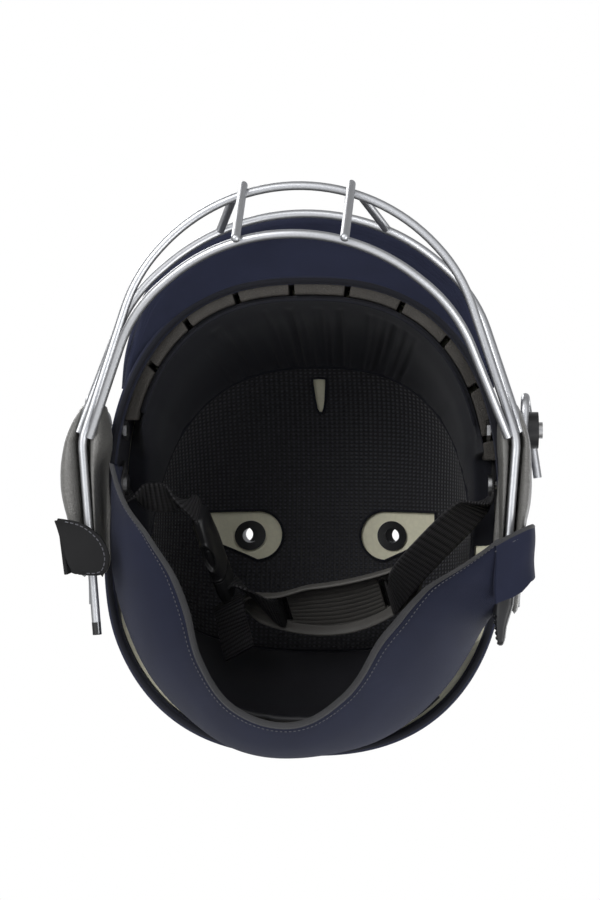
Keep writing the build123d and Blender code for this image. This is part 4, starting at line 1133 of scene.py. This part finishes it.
# %% Ear pads
outer_face = {-1: [(-58, 116.5), (-50, 120), (-42, 122.6), (-31, 125.2), (-20, 126.2), (-8, 125.4),
                   (0, 122.8), (7, 120.8), (34, 118.5)],
              1: [(-58, 115), (-50, 118), (-42, 120), (-31, 121), (-10, 121.2), (0, 119.5),
                  (8, 117.2), (35, 116.4), (52, 116)]}
inner_face = {-1: [(-58, 104), (-50, 101.6), (-42, 99.8), (-34, 100.5), (-26, 103.8), (52, 104.8)],
              1: [(-58, 104.5), (-50, 103), (-38, 102.4), (-28, 104), (52, 104.8)]}
front, wire_room = -58.0, 2.6
for side, label, rear in ((-1, "right", 34.0), (1, "left", 52.0)):
    def y_at(t):
        return front + (rear - front) * t

    def lobe_height(t):
        return 14.5 + 6.0 * sin(pi * t) ** 0.6

    def lobe(name, face, way, level):
        """A lobe that fills from the wire to a face; way is 1 outside it, -1 inside."""
        def reach(t):
            return sum(line(face[side], y_at(t) + d) for d in (-5, 0, 5)) / 3

        def centre(t):
            return (side * (reach(t) + wire_line(y_at(t)) + way * wire_room) / 2, y_at(t),
                    level + 3 * sin(pi * t))

        def half(t):
            return (way * (reach(t) - wire_line(y_at(t))) - wire_room) / 2
        return cushion(name, centre, half, lobe_height, power=2.5)

    def block_form(s, t):
        c, d = rounded(s, 3.0)
        end = (1 - abs(2 * t - 1) ** 6) ** (1 / 2.2)
        return (side * (112.6 + 4.0 * end * c), -40.0 + 15.5 * end * d, -34 + 47.5 * t)

    outer = lobe("outer", outer_face, 1, -46)
    inner = lobe("inner", inner_face, -1, -46.5)
    roof = cushion("roof", lambda t: (side * (wire_line(y_at(t)) + 0.8), y_at(t), -31.5),
                   lambda t: 7.8, lambda t: 3.0)
    block = lay("block", 40, 40, block_form)
    close_up(block, outward=True)
    pad = join_pieces([outer, inner, roof, block], "ear_cushion_" + label)
    settle(pad, "helmet", ear_leather, "ear_pad_" + label)


# %% [markdown]
# Behind the left pad its cover runs on as a dark wedge round the end of the wire, with a
# toothed hem. Both ends of the middle bar wear a rubber cap.

# %% Wedge and wire caps
wedge_inner = [(34, 101.5), (52.6, 100.4), (66, 102.0)]
wedge_outer = [(34, 112), (45, 110.8), (56, 107.4), (66, 106.0)]


def wedge_form(s, t):
    """A closed wedge: s goes round its section and t along it to the rear."""
    y = 34 + 32 * t
    near, far = line(wedge_inner, y), line(wedge_outer, y)
    c, d = rounded(s, 4)
    end = (1 - abs(2 * t - 1) ** 12) ** 0.5
    tooth = 0.9 * abs(sin(pi * y / 2.6)) if y > 50 and c < -0.7 else 0.0
    return ((near + far) / 2 + (far - near) / 2 * end * c + tooth, y, -69 + 7.5 * end * d)


wedge = lay("ear_cushion_wedge", 64, 96, wedge_form)
close_up(wedge)
settle(wedge, "helmet", black_plastic)
bar_points = [v.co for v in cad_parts["grille_middle_bar"].data.vertices]
for side, label in ((-1, "right"), (1, "left")):
    rear = max(p.y for p in bar_points if p.x * side > 0)
    tip = [p for p in bar_points if p.x * side > 0 and p.y > rear - 0.0015]
    middle = in_mm(sum(tip, Vector()) / len(tip))
    rearward = Vector((-0.0804 * side, 1, 0))
    wire_half = (max(p.z for p in tip) - min(p.z for p in tip)) * 500
    tape_roll("wire_cap_" + label, [middle - rearward * 6.0, middle + rearward * 0.6],
              wire_half + 0.12, False, black_plastic, "helmet")
    print("wire end", label, [round(v, 1) for v in middle], round(wire_half, 2))


# %% [markdown]
# The chin strap lies in a plane of its own that swings about the two rivets, so its
# points are given along, across and above that plane.

# %% Strap plane
tilt = radians(35)
rivet_y, rivet_z = -14.3, 6.0
cup_x, cup_u, cup_turn = 13, 83.5, radians(-11.2)


def on_strap(x, u, w):
    """A point x across, u along and w above the strap's plane."""
    return Vector((x, rivet_y + u * cos(tilt) - w * sin(tilt),
                   rivet_z + u * sin(tilt) + w * cos(tilt)))


def strap_way(x, u, w):
    """A direction given in the strap's plane."""
    return Vector((x, u * cos(tilt) - w * sin(tilt), u * sin(tilt) + w * cos(tilt))).normalized()


def in_cup(p, q):
    """A place along and across the cup, in the strap's plane."""
    return (cup_x + p * cos(cup_turn) - q * sin(cup_turn),
            cup_u + p * sin(cup_turn) + q * cos(cup_turn))


def webbing_piece(name, body, nodes_replaced, steps, route, width=20.0, thickness=1.5):
    """A band of webbing: the route holds (x, u, w) and the way its width points."""
    rows = [(*spot, *way) for spot, way in route]

    def form(s, t):
        row = along(rows, s)
        return tuple(on_strap(*row[:3]) + strap_way(*row[3:]) * width * (t - 0.5))
    piece = lay(name, steps, 14, form, scale_v=width)
    sew(piece, thickness, body, webbing, *nodes_replaced, bevel=0.35)
    length = path_length([form(step / 200, 0.5) for step in range(201)])
    print(name, "is", round(length), "mm long")


# %% Webbing
w_way, q_way = (0, 0, 1), (0.194, 0.981, 0)
slot_in, slot_out = in_cup(32, 0), in_cup(-32, 0)
webbing_piece("chin_webbing_long", "chin_strap", ("strap_long", "strap_bridge"), 180, [
    ((102.6, -9, 0), w_way), ((102.6, 0, 0), w_way), ((101.5, 6, -1), (0.1, 0.1, 1)),
    ((97, 9, -3.5), (0.45, 0.45, 0.75)), ((91, 12, -5.5), (0.75, 0.6, 0.25)),
    ((80, 25, -6.3), (0.8, 0.6, 0)), ((66, 43, -6.3), (0.8, 0.6, 0)),
    ((56, 57, -6.5), (0.75, 0.66, 0)),
    ((49.5, 68, -7.0), (0.5, 0.86, 0)), ((46.2, slot_in[1], -6.3), q_way),
    ((*slot_in, -3), q_way), ((*slot_in, 2.5), q_way),
    *[((*in_cup(p, q), w), q_way) for p, q, w in (
        (31, 1.5, 4.7), (22, 4.5, 5.2), (10, 7, 5.3), (-10, 7, 5.3), (-22, 4.5, 5.2),
        (-31, 1.5, 4.7))],
    ((*slot_out, 2.5), q_way), ((*slot_out, -1), q_way)])
webbing_piece("chin_webbing_link", "chin_strap", ("strap_link",), 60, [
    ((*slot_out, -1.2), q_way), ((slot_out[0] - 0.8, slot_out[1], -4.5), q_way),
    ((slot_out[0] - 4, slot_out[1] - 3, -6.6), (0.3, 0.95, 0)), ((-31, 79, -6.3), (0.35, 0.9, 0.2)),
    ((-41, 72, -3), (0.3, 0.7, 0.6)), ((-46.5, 69.5, -0.5), (0.1, 0.3, 0.95))])
webbing_piece("chin_webbing_short", "chin_strap", ("strap_short",), 90, [
    ((-102.6, -9, 0), w_way), ((-102.6, 0, 0), w_way), ((-101.5, 5, -1), (-0.1, 0.1, 1)),
    ((-97, 7, -3), (-0.1, 0.6, 0.8)), ((-89, 6, -4), (0, 1, 0.15)), ((-78, 6.5, -4), (0.1, 1, 0.1)),
    ((-70.5, 9.5, -2), (0.3, 0.6, 0.7)), ((-65, 14, -0.5), (0.1, 0.1, 1)),
    ((-61.7, 20.5, 0), w_way)])
webbing_piece("chin_webbing_tail", "clip", ("strap_tail",), 50, [
    ((-49.2, 76.5, -8.5), (0.84, -0.54, 0)), ((-47.6, 80, -11.5), (0.84, -0.54, 0)),
    ((-45.5, 86, -18), (0.84, -0.5, -0.1)), ((-43, 91.5, -25), (0.8, -0.55, 0.1)),
    ((-40.5, 96.5, -32), (0.84, -0.54, 0.05))])


# %% [markdown]
# The chin cup is a moulded tray, bowed to fit the chin. A grid is laid along its bow with
# a low rim all round, a raised middle and fine ridges along it, and the faces over the
# two slots are taken out before the tray gets its thickness.

# %% Chin cup
cup_half, slot_place = 54, 32
bowl_slope, ridge_count = 3.2, 12


def cup_form(s, t):
    """The tray: a low rim all round, a raised bowl and ridges along it."""
    p = 2 * cup_half * (s - 0.5)
    share = abs(p) / cup_half
    far = -2 + 24 * (1 - share ** 2.0)
    near = -19 - 5.5 * ease((p + 36) / 26) + 8.5 * (1 - share ** 2.0)
    tuck = 7.0 * max(0.0, (share - 0.82) / 0.18) ** 2
    q = (near + tuck) + (far - near - 2 * tuck) * t
    side_gap = min(t, 1 - t) * (far - near)
    bowl = ease(min(side_gap, (1 - share) * cup_half) / bowl_slope)
    ridge = 0.0
    if bowl > 0.6:
        ridge = 0.45 * (0.5 + 0.5 * cos(2 * pi * t * ridge_count)) * ease((bowl - 0.6) / 0.4)
    return tuple(on_strap(*in_cup(p, q), -4 + 6.2 * bowl - ridge))


def over_slot(spot):
    """Whether a scene point lies over one of the cup's two slots."""
    x, y, z = in_mm(spot)
    dx = x - cup_x
    du = (y - rivet_y) * cos(tilt) + (z - rivet_z) * sin(tilt) - cup_u
    p = dx * cos(cup_turn) + du * sin(cup_turn)
    q = -dx * sin(cup_turn) + du * cos(cup_turn)
    return abs(abs(p) - slot_place) < 4.5 and abs(q) < 10.4


cup = lay("chin_cup_tray", 216, 110, cup_form)
cut_faces(cup, over_slot)
sew(cup, 1.9, "cup", cup_rubber, "chin_cup", offset=-1.0, bevel=0.4)


# %% [markdown]
# Stitches are short straight tubes, each as long as its stitch, with a gap to the next.

# %% Stitching
def stitch_row(name, points, body, length=1.7, gap=1.0, radius=0.24):
    """A row of small stitches along a line of points in millimetres."""
    points = [Vector(spot) for spot in points]
    reach = [0.0]
    for a, b in zip(points, points[1:]):
        reach.append(reach[-1] + (b - a).length)

    def spot_at(walked):
        index = max(i for i in range(len(points) - 1) if reach[i] <= walked)
        share = (walked - reach[index]) / (reach[index + 1] - reach[index])
        return place(*points[index].lerp(points[index + 1], share))

    stitches, start = [], 0.0
    while start + length < reach[-1]:
        stitches.append([spot_at(start), spot_at(start + length)])
        start += length + gap
    settle(tube(name, stitches, radius, 1), body, thread)


# %% Stitches along the guard's edge
stitch_row("guard_edge_stitches",
           [guard_spot(step / 200, 0.972, 1.35) for step in range(201)], "helmet",
           length=1.1, gap=1.2, radius=0.2)

# %% [markdown]
# Two tabs hold the flap's ends on the wires: a black D of hook tape on the wearer's
# right, and a wrap of the same navy cloth on the left.

# %% Hook tab on the wearer's right
tab_outer_edge = [(-123.4, 3.0), (-120.5, 13), (-118, 22), (-114.4, 29.6)]
tab_free_edge = [(-122.6, 2.8), (-110, 5.2), (-101.5, 10.6), (-96.8, 17.5), (-95.9, 24.5),
                 (-99.5, 29.9), (-111.6, 29.8)]


def tab_form(s, t):
    """The D of the tab, a little domed."""
    a, b = along(tab_outer_edge, t), along(tab_free_edge, t)
    crown_by = 0.9 * (sin(pi * s) * sin(pi * t)) ** 0.5 if 0 < s < 1 and 0 < t < 1 else 0.0
    return (a[0] + (b[0] - a[0]) * s, a[1] + (b[1] - a[1]) * s, -73.6 - crown_by - 0.6 * s)


sew(lay("grip_tab_tape", 60, 60, tab_form), 2.2, "grip_tab", hook_tape, "grip_tab_right",
    bevel=0.5)
stitch_line = [tab_form(0.91, 0.07 + 0.86 * step / 60) for step in range(61)]
stitch_row("grip_tab_stitches", [(x, y, z - 1.25) for x, y, z in stitch_line], "grip_tab",
           radius=0.26)


def root_form(s, t):
    """The tab's root, upright along the wire."""
    y = 5.0 + 26.0 * t
    return (-(wire_line(y) + 12.6 - 0.05 * (y - 5) + 0.5 * sin(pi * s)), y, -72.4 + 26.4 * s)


sew(lay("grip_tab_base", 40, 40, root_form), 2.2, "helmet", hook_tape, "grip_tab_root",
    bevel=0.5)

# %% Wrap tab on the wearer's left
wrap_route = [(101, -86.0), (105, -83.9), (109.5, -82.0), (114, -80.4), (118.2, -77.2),
              (120.2, -71.5), (120.2, -64), (119.9, -58), (119.7, -53.6)]
wrap_front = [(0, 14.4), (0.12, 12.2), (0.25, 9.8), (0.38, 7.6), (0.5, 5.8), (0.62, 5.4),
              (0.8, 6.4), (1, 8.5)]
wrap_rear = [(0, 43.5), (0.12, 42), (0.25, 40.5), (0.38, 37.8), (0.5, 33), (0.62, 31.5),
             (0.8, 30.2), (1, 28)]
wrap_bend = ("helmet", "wrap_tab", place(101, 20, -83), place(110, 20, -83))


def wrap_form(s, t):
    """The tab from the flap up round the wire, a little wavy."""
    x, z = along(wrap_route, s)
    front, rear = line(wrap_front, s), line(wrap_rear, s)
    return (x + 0.3 * sin(7 * t), front + (rear - front) * t, z + 0.35 * sin(6 * t + 2 + 3 * s))


sew(lay("wrap_tab_cloth", 90, 50, wrap_form), 2.4, wrap_bend, navy_cloth, "wrap_tab_left",
    bevel=0.6)
edge_line = [wrap_form(step / 60, 0.0) for step in range(61)]
tape_roll("wrap_tab_edge", edge_line, 1.35, False, tape_cloth, wrap_bend)
stitch_row("wrap_tab_stitches", [(p[0], p[1] + 3.0, p[2] - 1.3) for p in edge_line[:28]],
           wrap_bend)
print("tabs done")

# %% [markdown]
# The vents run through foam and shell at a slant on the real helmet, so from below each
# one shows only a lens of light. A thin crescent at the outer end of the bore narrows it
# in the same way.

# %% Vent crescents
bore, shift = 4.45, 4.3
level = egg_height(vent_x, vent_y, 0) - 2.6
for side, label in ((-1, "right"), (1, "left")):
    def crescent_form(s, t):
        """A lens between the bore's edge and the same edge moved."""
        y = bore * (2 * t - 1) * 0.999
        root_x = sqrt(max(0.0, bore * bore - y * y))
        return (side * (vent_x - root_x + min(shift, 2 * root_x) * s), vent_y + y, level)

    sew(lay("vent_crescent_" + label, 12, 24, crescent_form), 0.8, "helmet", black_plastic)

# %% [markdown]
# The buckle is moulded plastic without a flat or a sharp edge: its section is a rounded
# oval that swells towards the middle, with an oval window in each side where the prongs
# show. It is drawn as rings along its length, and the window is pressed into the sides.

# %% Buckle
start_x, start_u = -62.0, 19.0
reach_x, reach_u = -48.6 - start_x, 78.7 - start_u
size = sqrt(reach_x ** 2 + reach_u ** 2)
way_x, way_u = reach_x / size, reach_u / size


def on_buckle(a, beside, w):
    """A place along, beside and above the buckle."""
    return tuple(on_strap(start_x + a * way_x + beside * way_u,
                          start_u + a * way_u - beside * way_x, w))


def buckle_body(name, stations, window=None):
    """A closed moulding through rings of (along, half width, half thickness)."""
    def form(s, t):
        a, wide, thick = along(stations, t)
        c, d = rounded(s, 2.7)
        across, beside = wide * c, thick * d
        if window and abs(cos(2 * pi * s)) > 0.4:
            side = 1 if c > 0 else -1
            oval = ((a - window[0]) / window[1]) ** 2 + (beside / window[2]) ** 2
            if oval < 1:
                across -= side * 3.4 * (1 - oval) ** 0.3
            elif oval < 1.7:
                across += side * 0.45 * sin(pi * (oval - 1) / 0.7)
        return on_buckle(a, beside, across)
    piece = lay(name, 96, 110, form)
    close_up(piece, outward=True, fill=True, reach=0.00003)
    return piece


socket = buckle_body("buckle_socket_moulding", [
    (0.3, 0.05, 0.05), (0.5, 6.0, 2.2), (2.0, 8.6, 4.0), (7, 10.2, 4.7), (14, 11.6, 4.75),
    (21, 12.9, 4.75), (29, 13.1, 4.75), (36, 12.6, 4.7), (40.4, 12.2, 4.65), (41.7, 11.7, 4.3),
    (42.0, 0.05, 0.05)], window=(25.0, 8.5, 3.0))
settle(socket, "chin_strap", black_plastic, "buckle_socket")
clip = buckle_body("buckle_clip_moulding", [
    (42.5, 0.05, 0.05), (42.7, 11.6, 4.2), (44.0, 12.3, 4.65), (50, 12.6, 4.7), (55, 11.9, 4.65),
    (59, 10.2, 4.2), (60.9, 7.6, 3.0), (61.3, 0.05, 0.05)])
prongs = []
for turn in (-1, 1):
    prong = buckle_body("prong", [(20.4, 0.05, 0.05), (20.8, 1.6, 1.4), (24, 2.2, 1.9),
                                  (40, 2.1, 1.9), (45, 2.1, 1.9), (45.4, 0.05, 0.05)])
    shift_by = Vector(on_strap(0, 0, turn * 8.4)) - Vector(on_strap(0, 0, 0))
    for vertex in prong.data.vertices:
        vertex.co += shift_by / 1000
    prongs.append(prong)
clip = join_pieces([clip] + prongs, "buckle_clip_moulding")
settle(clip, "clip", black_plastic, "buckle_clip")
